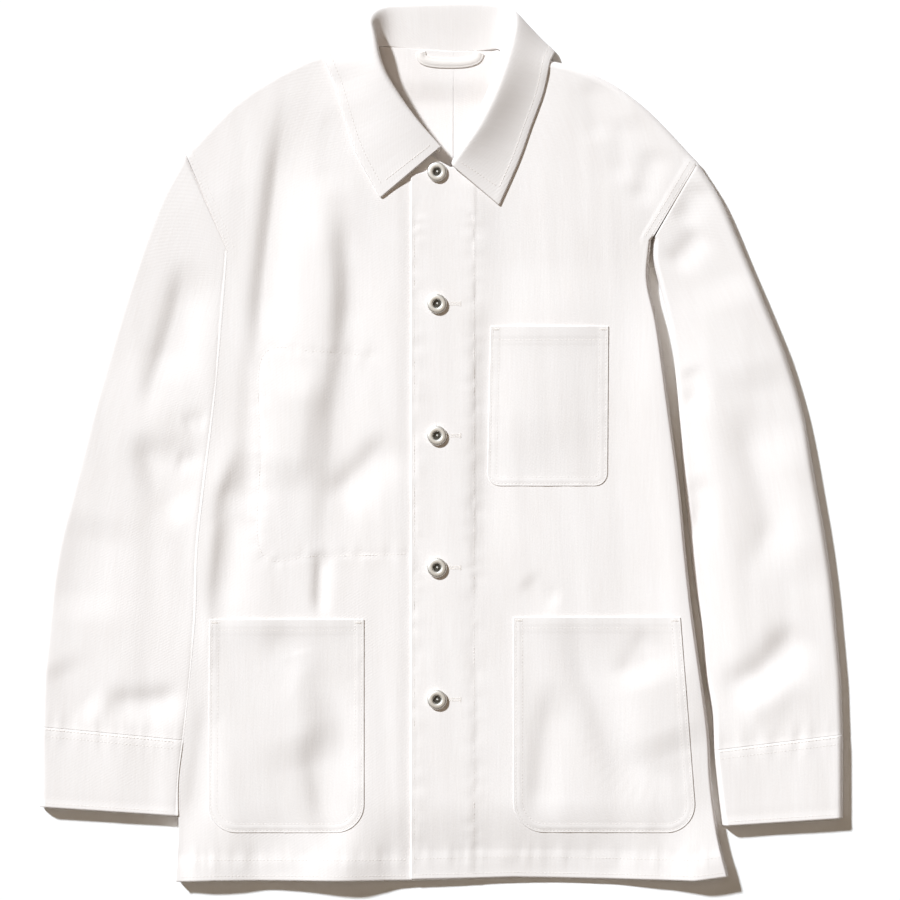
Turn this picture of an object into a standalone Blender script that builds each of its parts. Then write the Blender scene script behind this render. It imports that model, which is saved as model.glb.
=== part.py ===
"""An off-white denim chore jacket, laid flat on its back with its buttons done up.

Lengths in the tables are millimetres. X runs across the jacket, Y from the hem (-Y) to the collar
(+Y) and Z up from the surface that it lies on. "Left" and "right" in the names are the wearer's, so
the left front lies at +X. Every cloth piece is a wall: a grid of points on its outer face, and the
same grid moved in by the wall's thickness.
"""

import math

import bmesh
import bpy
import numpy as np

MM = 0.001

# Cloth
CLOTH = 1.8  # one layer of heavy denim with its turnings
COLLAR_CLOTH = 2.4  # two layers, under-collar and top collar
POCKET_CLOTH = 1.5
SEAM_GAP = 0.3
ARMHOLE_GAP = 0.6
FRONT_ROW_STEP = 27.0  # spacing of a grid's rows along its panel
BACK_ROW_STEP = 40.0
SLEEVE_ROW_STEP = 30.0
FRONT_COLUMNS = (2, 2, 7, 2)  # cells between the lines of a front's sections
BACK_COLUMNS = (2, 3)
SLEEVE_COLUMNS = 5
ROLL_STEPS = 3  # cells that turn round a folded edge

# How the flattened jacket stands off the surface
ROLL_HEIGHT = 6.5  # height of the side fold's outermost line
EDGE_TOP = 12.5  # top of the body just inside its folded edge
BODY_TOP = 15.0  # top of the body in its middle
SLEEVE_TOP = 13.0
ROLL_RADIUS = 6.0  # plan width of a folded edge that stands free
TIGHT_ROLL = 3.0  # the same where the cloth stands crisply beside its neighbour
CROWN_REACH = 70.0  # how far in from the edge the cloth reaches its full height
LAP_LIFT = 1.2  # how far the closed fronts stand above and below their common face
LAP_SLACK = 0.4  # how much further the under front dips
LAP_WIDTH = 44.0  # how far the fronts overlap
LAP_RUNOUT = 30.0  # width beyond it over which the upper front comes down again
LAP_EASE = 14.0  # width over which the under front dips below the other's edge
NECK_LIFT = 3.0  # the turned-down collar lies this thick below the back's neck
NECK_LIFT_FROM = 296.0  # Y above which the back lifts off the surface for it
NECK_LIFT_HALF = 92.0  # half of the width that lifts
NECK_LIFT_EASE = 26.0
HEM_FIRMNESS = 0.6  # share of the folds' height that the stitched hem presses flat
FREE_FOLD = 0.3  # an outer edge lower than this share of the panel's height is a free fold

# Rows of the left front, from hem to neck: free edge, stitched facing line, inner and outer line of
# its pockets, outer edge. Each is (x, y).
FRONT_LEFT_SECTIONS = (
    # row, free edge, facing line, pocket inner, pocket outer, outer edge
    ("hem", (-26, -384), (29, -383), (63, -382), (223, -385), (253, -381)),
    ("pocket bottom", (-26, -343), (29, -343), (64, -343), (225, -343), (244, -343)),
    ("pocket corner", (-26, -297), (29, -297), (64, -297), (221, -297), (238, -297)),
    ("pocket middle", (-26, -248), (29, -248), (64, -248), (216, -248), (232, -248)),
    ("pocket top", (-26, -154), (29, -154), (64, -154), (210, -154), (218, -154)),
    ("waist", (-26, -95), (29, -95), (52, -95), (175, -95), (211, -95)),
    ("chest bottom", (-26, -38), (29, -38), (41, -38), (146, -38), (206, -38)),
    ("chest middle", (-26, 37), (29, 37), (43, 37), (146, 37), (196, 37)),
    ("chest top", (-26, 102), (29, 102), (44, 102), (147, 102), (187, 102)),
    ("above chest", (-26, 143), (29, 143), (43, 143), (143, 143), (180, 143)),
    ("underarm", (-26, 178), (28, 178), (42, 178), (140, 178), (185, 178)),
    ("armhole", (-26, 196), (26, 198), (41, 203), (136, 211), (205.5, 212.5)),
    ("shoulder point", (-26, 209), (23, 215), (40, 226), (133, 242), (226, 247)),
    ("shoulder", (-26, 220), (18, 228), (34, 247), (105, 282), (176, 298)),
    ("by the collar", (-26, 228), (15, 235), (28, 257), (77, 303), (126, 328)),
    ("neck", (-26, 235), (11, 242), (21, 264), (41, 303), (56, 345)),
)

# Rows of the right front. Its first line is the edge that lies under the left front, and its second
# runs below the left front's free edge.
FRONT_RIGHT_SECTIONS = (
    # row, under edge, lap line, pocket inner, pocket outer, outer edge
    ("hem", (18, -384), (-28, -385), (-71, -385), (-199, -385), (-233, -386)),
    ("pocket bottom", (18, -343), (-28, -343), (-68, -343), (-205, -343), (-231, -343)),
    ("pocket corner", (18, -297), (-28, -297), (-68, -297), (-204, -297), (-231, -297)),
    ("pocket middle", (18, -248), (-28, -248), (-68, -248), (-202, -248), (-225, -248)),
    ("pocket top", (18, -156), (-28, -156), (-68, -156), (-203, -156), (-216, -156)),
    ("waist", (18, -95), (-28, -95), (-69, -95), (-193, -95), (-214, -95)),
    ("chest bottom", (18, -38), (-28, -38), (-70, -38), (-184, -38), (-208, -38)),
    ("chest middle", (18, 37), (-28, 37), (-71, 37), (-177, 37), (-199, 37)),
    ("chest top", (18, 102), (-28, 102), (-73, 102), (-172, 102), (-193, 102)),
    ("above chest", (18, 139), (-28, 139), (-74, 139), (-171, 139), (-190, 139)),
    ("underarm", (18, 169), (-29, 171), (-75, 172), (-168, 171), (-188, 169)),
    ("armhole", (18, 189), (-30, 194), (-78, 202), (-164, 210), (-207, 213)),
    ("shoulder point", (18, 206), (-32, 215), (-84, 231), (-164, 249), (-226, 257)),
    ("shoulder", (18, 220), (-26, 242), (-70, 270), (-128, 296), (-175, 307)),
    ("by the collar", (18, 229), (-15, 256), (-45, 287), (-80, 317), (-108, 343)),
    ("neck", (17, 236), (-6, 251), (-28.5, 294), (-49, 324), (-60, 349)),
)

# Where each row of the back meets the centre-back seam: (row, y)
BACK_SEAM_X = 11.0
BACK_MIDDLE = 0.55  # share of the way from that seam to the outer edge where its second line runs
BACK_SECTIONS = (
    # row, y on the centre-back seam
    ("hem", -384),
    ("pocket bottom", -343),
    ("pocket corner", -297),
    ("pocket middle", -248),
    ("pocket top", -155),
    ("waist", -95),
    ("chest bottom", -38),
    ("chest middle", 37),
    ("chest top", 102),
    ("above chest", 141),
    ("underarm", 174),
    ("armhole", 204),
    ("shoulder point", 240),
    ("shoulder", 283),
    ("by the collar", 316),
    ("neck", 344),
)
BENDS = ("underarm", "shoulder point")  # rows where the outline turns a corner

# Rows of the sleeves, from armhole to cuff: outer edge, edge beside the body
SLEEVE_LEFT_SECTIONS = (
    # outer edge, body edge
    ((226, 247), (187, 178)),
    ((247, 213), (187, 161)),
    ((268, 164), (191, 134)),
    ((286, 121), (197, 103)),
    ((304, 76), (202.5, 62)),
    ((319, 26), (207.5, 13)),
    ((328, -24), (210.5, -33)),
    ((337, -74), (215, -80)),
    ((344, -121), (219.5, -124)),
    ((348, -161), (226.5, -161)),
    ((352, -205), (230, -205)),
    ((353, -231), (237.5, -237)),
    ((354, -257), (240.5, -271)),
)
CUFF_LEFT_SECTIONS = (
    ((354, -257), (240.5, -271)),
    ((354, -293), (244, -304)),
    ((354, -330), (248, -337)),
)
SLEEVE_RIGHT_SECTIONS = (
    # outer edge, body edge
    ((-227, 256), (-189.5, 168.5)),
    ((-251, 210), (-191, 149)),
    ((-274, 146), (-194.5, 115)),
    ((-294, 80), (-198, 62)),
    ((-311, 20), (-204, 9)),
    ((-325, -36), (-210.5, -42)),
    ((-339, -93), (-216, -96)),
    ((-347, -149), (-218, -158)),
    ((-352, -205), (-222.5, -214)),
    ((-354, -250), (-228, -262)),
)
CUFF_RIGHT_SECTIONS = (
    ((-354, -250), (-228, -262)),
    ((-354, -285), (-232, -295)),
    ((-354, -320), (-233.5, -328)),
)

# How high the front's lower edge stands above the surface: (x, height)
HEM_WAVES = (
    # x, top of the hem
    (-233, 11),
    (-215, 12),
    (-190, 9),
    (-160, 6.5),
    (-125, 9),
    (-85, 14),
    (-55, 13),
    (-26, 11),
    (0, 11),
    (50, 10),
    (102, 6.5),
    (150, 9),
    (200, 12),
    (253, 11),
)
HEM_REACH = 70.0  # how far up from the hem its waves die out

# Folds in the fronts. The spine runs down the fold; a trough has a negative height. The fold's side
# towards the upper left is "near" wide, and its other side "far" wide.
BODY_FOLDS = (
    # name, height, near width, far width, spine
    ("armpit trough", -4.5, 7, 20, ((-136, 312), (-141, 257), (-150, 187), (-157, 125), (-161, 51))),
    ("breast ridge", 3.0, 22, 10, ((-112, 235), (-100, 150), (-104, 60), (-116, 10))),
    ("front trough", -3.5, 9, 24, ((-92, 225), (-80, 161), (-83, 99), (-91, 37), (-106, -149))),
    ("slanting fold", -3.0, 9, 16, ((-42, 8), (-62, -16), (-80, -34), (-100, -56))),
    ("waist ridge", 3.0, 26, 12, ((-117, 70), (-124, 15), (-133, -45))),
    ("side drop", 3.0, 16, 9, ((-176, 15), (-196, -40), (-203, -95), (-209, -174), (-214, -230))),
    ("side trough", -2.5, 8, 22, ((-168, 2), (-189, -51), (-193, -95), (-199, -174))),
    ("pocket side", -2.0, 8, 14, ((-204, -215), (-214, -290), (-226, -350))),
    ("hem trough", -3.0, 8, 16, ((-117, -245), (-110, -290), (-100, -330), (-80, -372))),
    ("pocket ridge", 2.5, 26, 12, ((-128, -170), (-128, -230), (-120, -290))),
    ("pocket mouth", -2.0, 10, 18, ((-129, -160), (-146, -190), (-95, -206))),
    ("facing trough", -2.2, 9, 16, ((42, 150), (41, 60), (39, -50), (40, -140))),
    ("chest ridge", 2.2, 40, 26, ((98, 160), (96, 60), (92, -30))),
    ("side ridge", 5.0, 13, 10, ((182, 170), (186, 115), (194, 45), (204, -38), (215, -140), (238, -325))),
    ("neck streak", -2.0, 8, 12, ((128, 322), (133, 290), (140, 262))),
    ("shoulder streak", -2.2, 9, 14, ((158, 290), (161, 262), (158, 225))),
    ("armhole fold", -2.5, 8, 10, ((190, 262), (182, 235), (172, 205))),
    ("waist tuck", -2.0, 7, 10, ((72, -118), (86, -131), (106, -142))),
    ("sagging fold", -3.2, 10, 18, ((105, -150), (131, -209), (149, -262), (178, -291), (222, -300))),
    ("corner fold", -2.2, 8, 14, ((184, -162), (172, -186), (156, -212))),
    ("low fold", -2.4, 9, 16, ((101, -205), (93, -262), (88, -300), (84, -345))),
    ("pocket swell", 2.4, 26, 20, ((180, -190), (196, -240), (208, -275))),
)
RIGHT_SLEEVE_FOLDS = (
    ("upper fold", -3.4, 8, 20, ((-222, 165), (-234, 110), (-250, 58), (-259, 18))),
    ("elbow fold", -3.2, 9, 14, ((-262, 14), (-254, -24), (-240, -50), (-222, -72))),
    ("elbow ridge", 2.2, 20, 16, ((-240, 80), (-246, 30), (-236, -20))),
    ("elbow crease", -1.8, 6, 8, ((-228, 14), (-216, 19), (-204, 18))),
    ("crook crease", -1.8, 6, 8, ((-234, -14), (-222, -16), (-210, -8))),
    ("forearm hollow", -2.0, 22, 26, ((-300, -60), (-312, -110), (-316, -160))),
    ("cuff fold", -3.0, 8, 12, ((-300, -228), (-258, -228), (-220, -222))),
    ("cuff hollow", -1.8, 12, 16, ((-340, -190), (-322, -222), (-300, -240))),
)
LEFT_SLEEVE_FOLDS = (
    ("cap fold", -2.8, 8, 12, ((222, 232), (216, 208), (204, 190))),
    ("cap crease", -3.0, 8, 10, ((232, 190), (218, 172), (200, 152))),
    ("upper swell", 2.4, 24, 26, ((252, 150), (268, 90), (280, 40))),
    ("inner crease", -2.2, 6, 8, ((216, 68), (224, 48), (218, 26))),
    ("inner fold", -2.2, 6, 9, ((222, -28), (229, -52), (224, -88))),
    ("long fold", -3.0, 10, 16, ((262, 42), (272, -4), (290, -68), (274, -124))),
    ("outer ridge", 2.2, 22, 18, ((306, 20), (320, -60), (318, -130))),
    ("lower fold", -4.5, 11, 15, ((318, -158), (296, -188), (276, -206), (242, -219))),
    ("cuff swell", 2.0, 18, 12, ((316, -200), (290, -224), (262, -236))),
)

# Collar, from the right front's end to the left's: seam on the neck, top of the roll, outer edge
COLLAR_STATIONS = (
    # neck (x, y, z), roll (x, y, z), outer edge (x, y, z), size of the roll
    ((-3, 254.5, 16.5), (-2, 259, 21), (-53, 216, 19), 3.0),
    ((-14, 275, 15), (-22, 281, 22), (-73, 253, 18), 4.0),
    ((-31, 301, 13), (-39.5, 304, 23), (-84.5, 286, 18), 4.5),
    ((-47.5, 326, 12), (-53.5, 329, 24), (-94, 318, 18), 4.5),
    ((-56, 346, 11), (-60, 356, 22), (-106, 350, 12.5), 4.5),
    ((-54, 349.5, 7.5), (-62.5, 373, 14), (-93, 351, 1.4), 4.5),
    ((-40, 348.5, 4.4), (-50, 383, 7.5), (-62, 346, 1.3), 4.5),
    ((-16, 346.6, 4.0), (-20, 385, 6), (-20, 342, 1.3), 4.5),
    ((11, 344.8, 4.0), (11, 386, 6), (11, 341, 1.3), 4.5),
    ((36, 345.6, 4.0), (40, 385.5, 6), (42, 342, 1.3), 4.5),
    ((49, 347, 4.4), (59, 382, 8.5), (74, 345, 1.3), 4.5),
    ((53, 344, 9), (66, 373, 16), (98, 346, 3.0), 4.5),
    ((51, 335, 15), (63.5, 350, 22), (95, 334, 14), 4.5),
    ((42, 310, 17), (51.5, 312, 27.5), (89.5, 308, 17.2), 5.0),
    ((30, 284, 17), (37.5, 282, 27.5), (78.5, 277.5, 17.6), 5.0),
    ((18.5, 261, 17), (24, 261, 25), (68, 248, 18.5), 4.0),
    ((10.5, 247, 17), (11.4, 243, 20.5), (51, 209.5, 20), 3.0),
)
COLLAR_LENGTHWISE = 31
COLLAR_STAND_STEPS = 4
COLLAR_FALL_STEPS = 6
STAND_LEAN = 0.4  # share of the stand and of the fall that run straight before they roll
FALL_REACH = 0.45
FALL_LEVEL = 0.35  # share of that slope which is left at the collar's edge

# Fastenings and small pieces
BUTTON_X = -3.5
BUTTON_Y = (238, 122, 6, -110, -226)
BUTTON_RADIUS = 8.6
BUTTON_HEIGHT = 4.2
BUTTON_SIDES = 16
POCKET_CORNER = 0.42  # share of a grid cell by which a pocket's lower corners are cut
POCKET_GAP = 0.55
LOOP_PATH = ((-18, 343.5), (-16, 338), (-7, 335), (8, 334.3), (22, 335), (31, 338), (34, 343.5))
LOOP_WIDTH = 8.0
LOOP_CLOTH = 1.4
LOOP_SEAT = 0.4
LOOP_CROWN = 0.8
SHARP_ANGLE = 50.0  # degrees; rounder edges than this are shaded smooth

# Colours (linear), roughness and metallic
DENIM = (0.86, 0.83, 0.78, 1.0)
POCKET_DENIM = (0.87, 0.84, 0.79, 1.0)
TAPE = (0.84, 0.81, 0.75, 1.0)
NICKEL = (0.55, 0.54, 0.52, 1.0)


def smooth(value):
    """Eases from 0 to 1 as value goes from 0 to 1."""
    value = np.clip(value, 0.0, 1.0)
    return value * value * (3.0 - 2.0 * value)


def spline(points, parts):
    """Splits each span of points into its number of parts, on a curve through the points."""
    points = np.asarray(points, dtype=float)
    before = np.concatenate([2 * points[:1] - points[1:2], points, 2 * points[-1:] - points[-2:-1]])
    rows = [points[0]]
    for span, count in enumerate(parts):
        a, b, c, d = before[span : span + 4]
        for step in range(1, count + 1):
            t = step / count
            square = (2 * a - 5 * b + 4 * c - d) * t**2
            cube = (3 * b - a - 3 * c + d) * t**3
            rows.append(0.5 * (2 * b + (c - a) * t + square + cube))
    return np.array(rows)


def polyline(points, parts=8):
    return spline(points, [parts] * (len(points) - 1))


def nearest(x, y, line):
    """Distance to a line, the share of its length where that is, and the offset vector there."""
    starts = line[:-1]
    spans = line[1:] - starts
    lengths = np.hypot(spans[:, 0], spans[:, 1])
    run = np.concatenate([[0.0], np.cumsum(lengths)])
    dx = x[..., None] - starts[:, 0]
    dy = y[..., None] - starts[:, 1]
    t = np.clip((dx * spans[:, 0] + dy * spans[:, 1]) / np.maximum(lengths**2, 1e-9), 0.0, 1.0)
    off_x = dx - t * spans[:, 0]
    off_y = dy - t * spans[:, 1]
    distance = np.hypot(off_x, off_y)
    best = np.argmin(distance, axis=-1)[..., None]
    along = np.take_along_axis((run[:-1] + t * lengths) / run[-1], best, -1)[..., 0]
    picked = [np.take_along_axis(values, best, -1)[..., 0] for values in (distance, off_x, off_y)]
    return picked[0], along, picked[1], picked[2]


def fold_height(x, y, folds):
    """Height that the folds of a table add at each point."""
    total = np.zeros_like(x)
    for _name, height, near, far, spine in folds:
        distance, along, off_x, off_y = nearest(x, y, polyline(spine, 6))
        width = np.where(off_x - off_y < 0.0, near, far)
        taper = np.sqrt(np.clip(4.0 * along * (1.0 - along), 0.0, 1.0))
        total += height * taper * np.exp(-((distance / width) ** 2))
    return total


def edge_round(x, y, edges):
    """1 away from the folded edges, and a quarter of an ellipse down to 0 on them."""
    share = np.ones_like(x)
    for line, radius in edges:
        inward = np.clip(nearest(x, y, line)[0] / radius, 0.0, 1.0)
        share = np.minimum(share, np.sqrt(1.0 - (1.0 - inward) ** 2))
    return share


def sections_between(sections, first, last):
    names = [row[0] for row in sections]
    return sections[names.index(first) : names.index(last) + 1]


def outline(sections, first, last):
    """Outer edge of a panel between two of its rows."""
    return polyline([row[-1] for row in sections_between(sections, first, last)])


def body_edges(sections):
    """Side fold and shoulder fold of one half of the body."""
    return (
        (outline(sections, "hem", "underarm"), TIGHT_ROLL),
        (outline(sections, "shoulder point", "neck"), ROLL_RADIUS),
    )


BODY_EDGES = {
    "left": body_edges(FRONT_LEFT_SECTIONS),
    "right": body_edges(FRONT_RIGHT_SECTIONS),
}


def sleeve_edges(sections, inner_roll):
    outer = polyline([row[0] for row in sections])
    inner = polyline([row[1] for row in sections])
    return ((outer, ROLL_RADIUS), (inner, inner_roll))


SLEEVE_EDGES = {
    "left": sleeve_edges(SLEEVE_LEFT_SECTIONS + CUFF_LEFT_SECTIONS[1:], ROLL_RADIUS),
    "right": sleeve_edges(SLEEVE_RIGHT_SECTIONS + CUFF_RIGHT_SECTIONS[1:], TIGHT_ROLL),
}


def body_top(x, y, side):
    """Height of the front's outer face, before the fronts are lapped."""
    edges = BODY_EDGES[side]
    inward = np.minimum(nearest(x, y, edges[0][0])[0], nearest(x, y, edges[1][0])[0])
    crown = EDGE_TOP + (BODY_TOP - EDGE_TOP) * smooth(inward / CROWN_REACH)
    hem_x, hem_top = zip(*HEM_WAVES)
    hem_line = spline(np.column_stack([hem_x, hem_top]), [6] * (len(hem_x) - 1))
    near_hem = 1.0 - smooth((y - FRONT_LEFT_SECTIONS[0][1][1]) / HEM_REACH)
    level = crown + (np.interp(x, hem_line[:, 0], hem_line[:, 1]) - crown) * near_hem
    level = level + fold_height(x, y, BODY_FOLDS) * (1.0 - HEM_FIRMNESS * near_hem)
    return ROLL_HEIGHT + (level - ROLL_HEIGHT) * edge_round(x, y, edges)


def front_left_top(x, y):
    lap = 1.0 - smooth((x - FRONT_LEFT_SECTIONS[0][1][0] - LAP_WIDTH) / LAP_RUNOUT)
    return body_top(x, y, "left") + LAP_LIFT * lap


def front_right_top(x, y):
    lap = smooth((x - FRONT_LEFT_SECTIONS[0][1][0] + LAP_EASE) / LAP_EASE)
    return body_top(x, y, "right") - (LAP_LIFT + LAP_SLACK) * lap


def back_bottom(x, y, side):
    """Height of the back's outer face: on the surface, but lifted over the turned-down collar."""
    above = smooth((y - NECK_LIFT_FROM) / NECK_LIFT_EASE)
    beside = smooth((abs(x - BACK_SEAM_X) - NECK_LIFT_HALF) / NECK_LIFT_EASE)
    lift = NECK_LIFT * above * (1.0 - beside)
    return lift + (ROLL_HEIGHT - lift) * (1.0 - edge_round(x, y, BODY_EDGES[side]))


def sleeve_top(x, y, side):
    folds = LEFT_SLEEVE_FOLDS if side == "left" else RIGHT_SLEEVE_FOLDS
    level = SLEEVE_TOP + fold_height(x, y, folds)
    return ROLL_HEIGHT + (level - ROLL_HEIGHT) * edge_round(x, y, SLEEVE_EDGES[side])


def sleeve_bottom(x, y, side):
    return ROLL_HEIGHT * (1.0 - edge_round(x, y, SLEEVE_EDGES[side]))


def roll_shares(radius):
    """Distances in from a folded edge, closest at the edge where the cloth turns down."""
    return [radius * (1.0 - math.cos(math.pi / 2 * k / ROLL_STEPS)) for k in range(ROLL_STEPS + 1)]


def panel_rows(sections, row_step):
    """Rows through the sections, at most row_step apart, and the index of each named section."""
    names = [row[0] for row in sections]
    points = np.array([[point for point in row[1:]] for row in sections], dtype=float)
    rows = [points[:1]]
    marks = {names[0]: 0}
    stops = [0] + [names.index(name) for name in BENDS] + [len(names) - 1]
    for first, last in zip(stops, stops[1:]):
        stretch = points[first : last + 1]
        spans = np.linalg.norm(np.diff(stretch, axis=0), axis=2).max(axis=1)
        parts = [max(1, math.ceil(span / row_step)) for span in spans]
        split = spline(stretch.reshape(len(stretch), -1), parts).reshape(-1, *points.shape[1:])
        done = sum(len(block) for block in rows) - 1
        for name, run in zip(names[first + 1 : last + 1], np.cumsum(parts)):
            marks[name] = done + int(run)
        rows.append(split[1:])
    return np.concatenate(rows), marks


def panel_plan(sections, counts, row_step, roll_radius):
    """Plan points of a panel: rows by columns by (x, y), and the marks of its rows and lines."""
    rows, marks = panel_rows(sections, row_step)
    shares = [np.linspace(0.0, 1.0, count + 1)[1:] for count in counts[:-1]]
    lines = [0] + [int(total) for total in np.cumsum(counts)]
    columns = [rows[:, :1]]
    for line, share in enumerate(shares):
        width = (rows[:, line + 1] - rows[:, line])[:, None]
        columns.append(rows[:, line : line + 1] + share[None, :, None] * width)
    last = rows[:, -1] - rows[:, -2]
    length = np.linalg.norm(last, axis=1)[:, None]
    rolled = np.array(roll_shares(roll_radius))[::-1][None, :] / length
    flat = np.linspace(0.0, 1.0, counts[-1] + 1)[1:-1][None, :] * (1.0 - rolled[:, :1])
    share = np.concatenate([flat, 1.0 - rolled], axis=1)
    columns.append(rows[:, -2][:, None] + share[:, :, None] * last[:, None])
    return np.concatenate(columns, axis=1), marks, lines


def grid_normals(points):
    """Unit normals of a grid of points, to the side that its rows and columns turn to."""
    down = np.gradient(points, axis=0)
    across = np.gradient(points, axis=1)
    normals = np.cross(across, down)
    return normals / np.maximum(np.linalg.norm(normals, axis=2, keepdims=True), 1e-12)


def ring_normals(points):
    """The same for rings of points that close on themselves."""
    wrapped = np.concatenate([points[:, -1:], points, points[:, :1]], axis=1)
    return grid_normals(wrapped)[:, 1:-1]


def facing(normals, upward):
    """Turns all normals over, if need be, so that most of them look up, or down."""
    return normals if (normals[..., 2].sum() > 0) == upward else -normals


def level_rim(normals, folded, column=-1):
    """Makes the normals level along a column where it is a folded edge's outermost line."""
    normals = normals.copy()
    normals[folded, column, 2] = 0.0
    normals[:, column] /= np.linalg.norm(normals[:, column], axis=1)[:, None]
    return normals


def new_object(name, vertices, faces, material):
    mesh = bpy.data.meshes.new(name)
    mesh.from_pydata([tuple(point) for point in np.asarray(vertices) * MM], [], faces)
    shape = bmesh.new()
    shape.from_mesh(mesh)
    bmesh.ops.recalc_face_normals(shape, faces=shape.faces)
    bmesh.ops.triangulate(shape, faces=shape.faces)
    shape.to_mesh(mesh)
    shape.free()
    mesh.shade_smooth()
    mesh.set_sharp_from_angle(angle=math.radians(SHARP_ANGLE))
    mesh.materials.append(material)
    part = bpy.data.objects.new(name, mesh)
    bpy.context.collection.objects.link(part)
    return part


def wall(name, outer, inner, material, ring=False):
    """A closed wall between two grids. A ring's rows close on themselves."""
    rows, columns = outer.shape[:2]
    vertices = np.concatenate([outer.reshape(-1, 3), inner.reshape(-1, 3)])
    under = rows * columns

    def corner(row, column, base=0):
        return base + row * columns + column % columns

    faces = []
    for row in range(rows - 1):
        for column in range(columns if ring else columns - 1):
            cell = [(row, column), (row, column + 1), (row + 1, column + 1), (row + 1, column)]
            faces.append([corner(*point) for point in cell])
            faces.append([corner(*point, under) for point in reversed(cell)])
    for row in (0, rows - 1):
        for column in range(columns if ring else columns - 1):
            edge = (corner(row, column), corner(row, column + 1))
            faces.append([edge[1], edge[0], edge[0] + under, edge[1] + under])
    if not ring:
        for column in (0, columns - 1):
            for row in range(rows - 1):
                edge = (corner(row, column), corner(row + 1, column))
                faces.append([edge[0], edge[1], edge[1] + under, edge[0] + under])
    return new_object(name, vertices, faces, material)


def plain_material(name, colour, roughness, metallic=0.0):
    material = bpy.data.materials.new(name)
    material.use_nodes = True
    shader = material.node_tree.nodes["Principled BSDF"]
    shader.inputs["Base Color"].default_value = colour
    shader.inputs["Roughness"].default_value = roughness
    shader.inputs["Metallic"].default_value = metallic
    return material


def front_panel(side, material):
    """One front: its wall, and the grid of its outer face with the marks that the pockets use."""
    sections = FRONT_LEFT_SECTIONS if side == "left" else FRONT_RIGHT_SECTIONS
    top = front_left_top if side == "left" else front_right_top
    plan, marks, lines = panel_plan(sections, FRONT_COLUMNS, FRONT_ROW_STEP, TIGHT_ROLL)
    height = top(plan[..., 0], plan[..., 1])
    folded = edge_round(plan[:, -1, 0], plan[:, -1, 1], BODY_EDGES[side]) < FREE_FOLD
    height[folded, -1] = ROLL_HEIGHT + SEAM_GAP / 2
    outer = np.dstack([plan, height])
    normals = level_rim(facing(grid_normals(outer), upward=True), folded)
    inner = outer - normals * CLOTH
    wall(f"front_{side}", outer, inner, material)
    return outer, normals, marks, lines


def back_panel(side, material):
    sections = FRONT_LEFT_SECTIONS if side == "left" else FRONT_RIGHT_SECTIONS
    seam_x = BACK_SEAM_X + (SEAM_GAP / 2 if side == "left" else -SEAM_GAP / 2)
    rows = []
    for (name, seam_y), section in zip(BACK_SECTIONS, sections):
        outer_point = np.array(section[-1], dtype=float)
        seam_point = np.array([seam_x, seam_y])
        middle_point = seam_point + BACK_MIDDLE * (outer_point - seam_point)
        rows.append((name, tuple(seam_point), tuple(middle_point), tuple(outer_point)))
    plan, _marks, _lines = panel_plan(rows, BACK_COLUMNS, BACK_ROW_STEP, TIGHT_ROLL)
    height = back_bottom(plan[..., 0], plan[..., 1], side)
    folded = edge_round(plan[:, -1, 0], plan[:, -1, 1], BODY_EDGES[side]) < FREE_FOLD
    height[folded, -1] = ROLL_HEIGHT - SEAM_GAP / 2
    outer = np.dstack([plan, height])
    inner = outer - level_rim(facing(grid_normals(outer), upward=False), folded) * CLOTH
    wall(f"back_{side}", outer, inner, material)


def tube_plan(sections, radii):
    """Plan rows of a flattened tube from its outer edge to its edge beside the body."""
    points = np.array(sections, dtype=float)
    spans = np.linalg.norm(np.diff(points, axis=0), axis=2).max(axis=1)
    parts = [max(1, math.ceil(span / SLEEVE_ROW_STEP)) for span in spans]
    rows = spline(points.reshape(len(points), -1), parts).reshape(-1, 2, 2)
    across = rows[:, 1] - rows[:, 0]
    length = np.linalg.norm(across, axis=1)[:, None]
    near = np.array(roll_shares(radii[0]))[None, :] / length
    far = 1.0 - np.array(roll_shares(radii[1]))[::-1][None, :] / length
    share = np.linspace(0.0, 1.0, SLEEVE_COLUMNS + 1)[1:-1][None, :]
    middle = near[:, -1:] + share * (far[:, :1] - near[:, -1:])
    shares = np.concatenate([near, middle, far], axis=1)
    return rows[:, :1] + shares[:, :, None] * across[:, None]


def shortened(sections, gap):
    """The sections with the first one moved down the sleeve by a gap."""
    points = np.array(sections, dtype=float)
    across = points[0, 1] - points[0, 0]
    along = np.array([-across[1], across[0]]) / np.linalg.norm(across)
    points[0] += along * gap * np.sign(along @ (points[1] - points[0]).mean(axis=0))
    return points


def edge_radii(side):
    return SLEEVE_EDGES[side][0][1], SLEEVE_EDGES[side][1][1]


def sleeve(side, sections, material):
    """A two-piece sleeve: its upper and its under piece meet along the folded edges."""
    plan = tube_plan(shortened(sections, ARMHOLE_GAP), edge_radii(side))
    folded = np.ones(len(plan), dtype=bool)
    for name, height, half_gap in (
        ("upper", sleeve_top(plan[..., 0], plan[..., 1], side), SEAM_GAP / 2),
        ("under", sleeve_bottom(plan[..., 0], plan[..., 1], side), -SEAM_GAP / 2),
    ):
        height[:, [0, -1]] = ROLL_HEIGHT + half_gap
        outer = np.dstack([plan, height])
        normals = facing(grid_normals(outer), upward=name == "upper")
        normals = level_rim(level_rim(normals, folded), folded, column=0)
        wall(f"sleeve_{side}_{name}", outer, outer - normals * CLOTH, material)


def cuff(side, sections, material):
    """A flattened band round the sleeve's end."""
    plan = tube_plan(shortened(sections, SEAM_GAP), edge_radii(side))
    x, y = plan[..., 0], plan[..., 1]
    over = np.dstack([plan, sleeve_top(x, y, side)])
    under = np.dstack([plan, sleeve_bottom(x, y, side)])[:, 1:-1][:, ::-1]
    outer = np.concatenate([over, under], axis=1)
    normals = ring_normals(outer)
    middle = outer.shape[1] // 4
    if normals[:, middle, 2].mean() < 0:
        normals = -normals
    wall(f"cuff_{side}", outer, outer - normals * CLOTH, material, ring=True)


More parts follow.
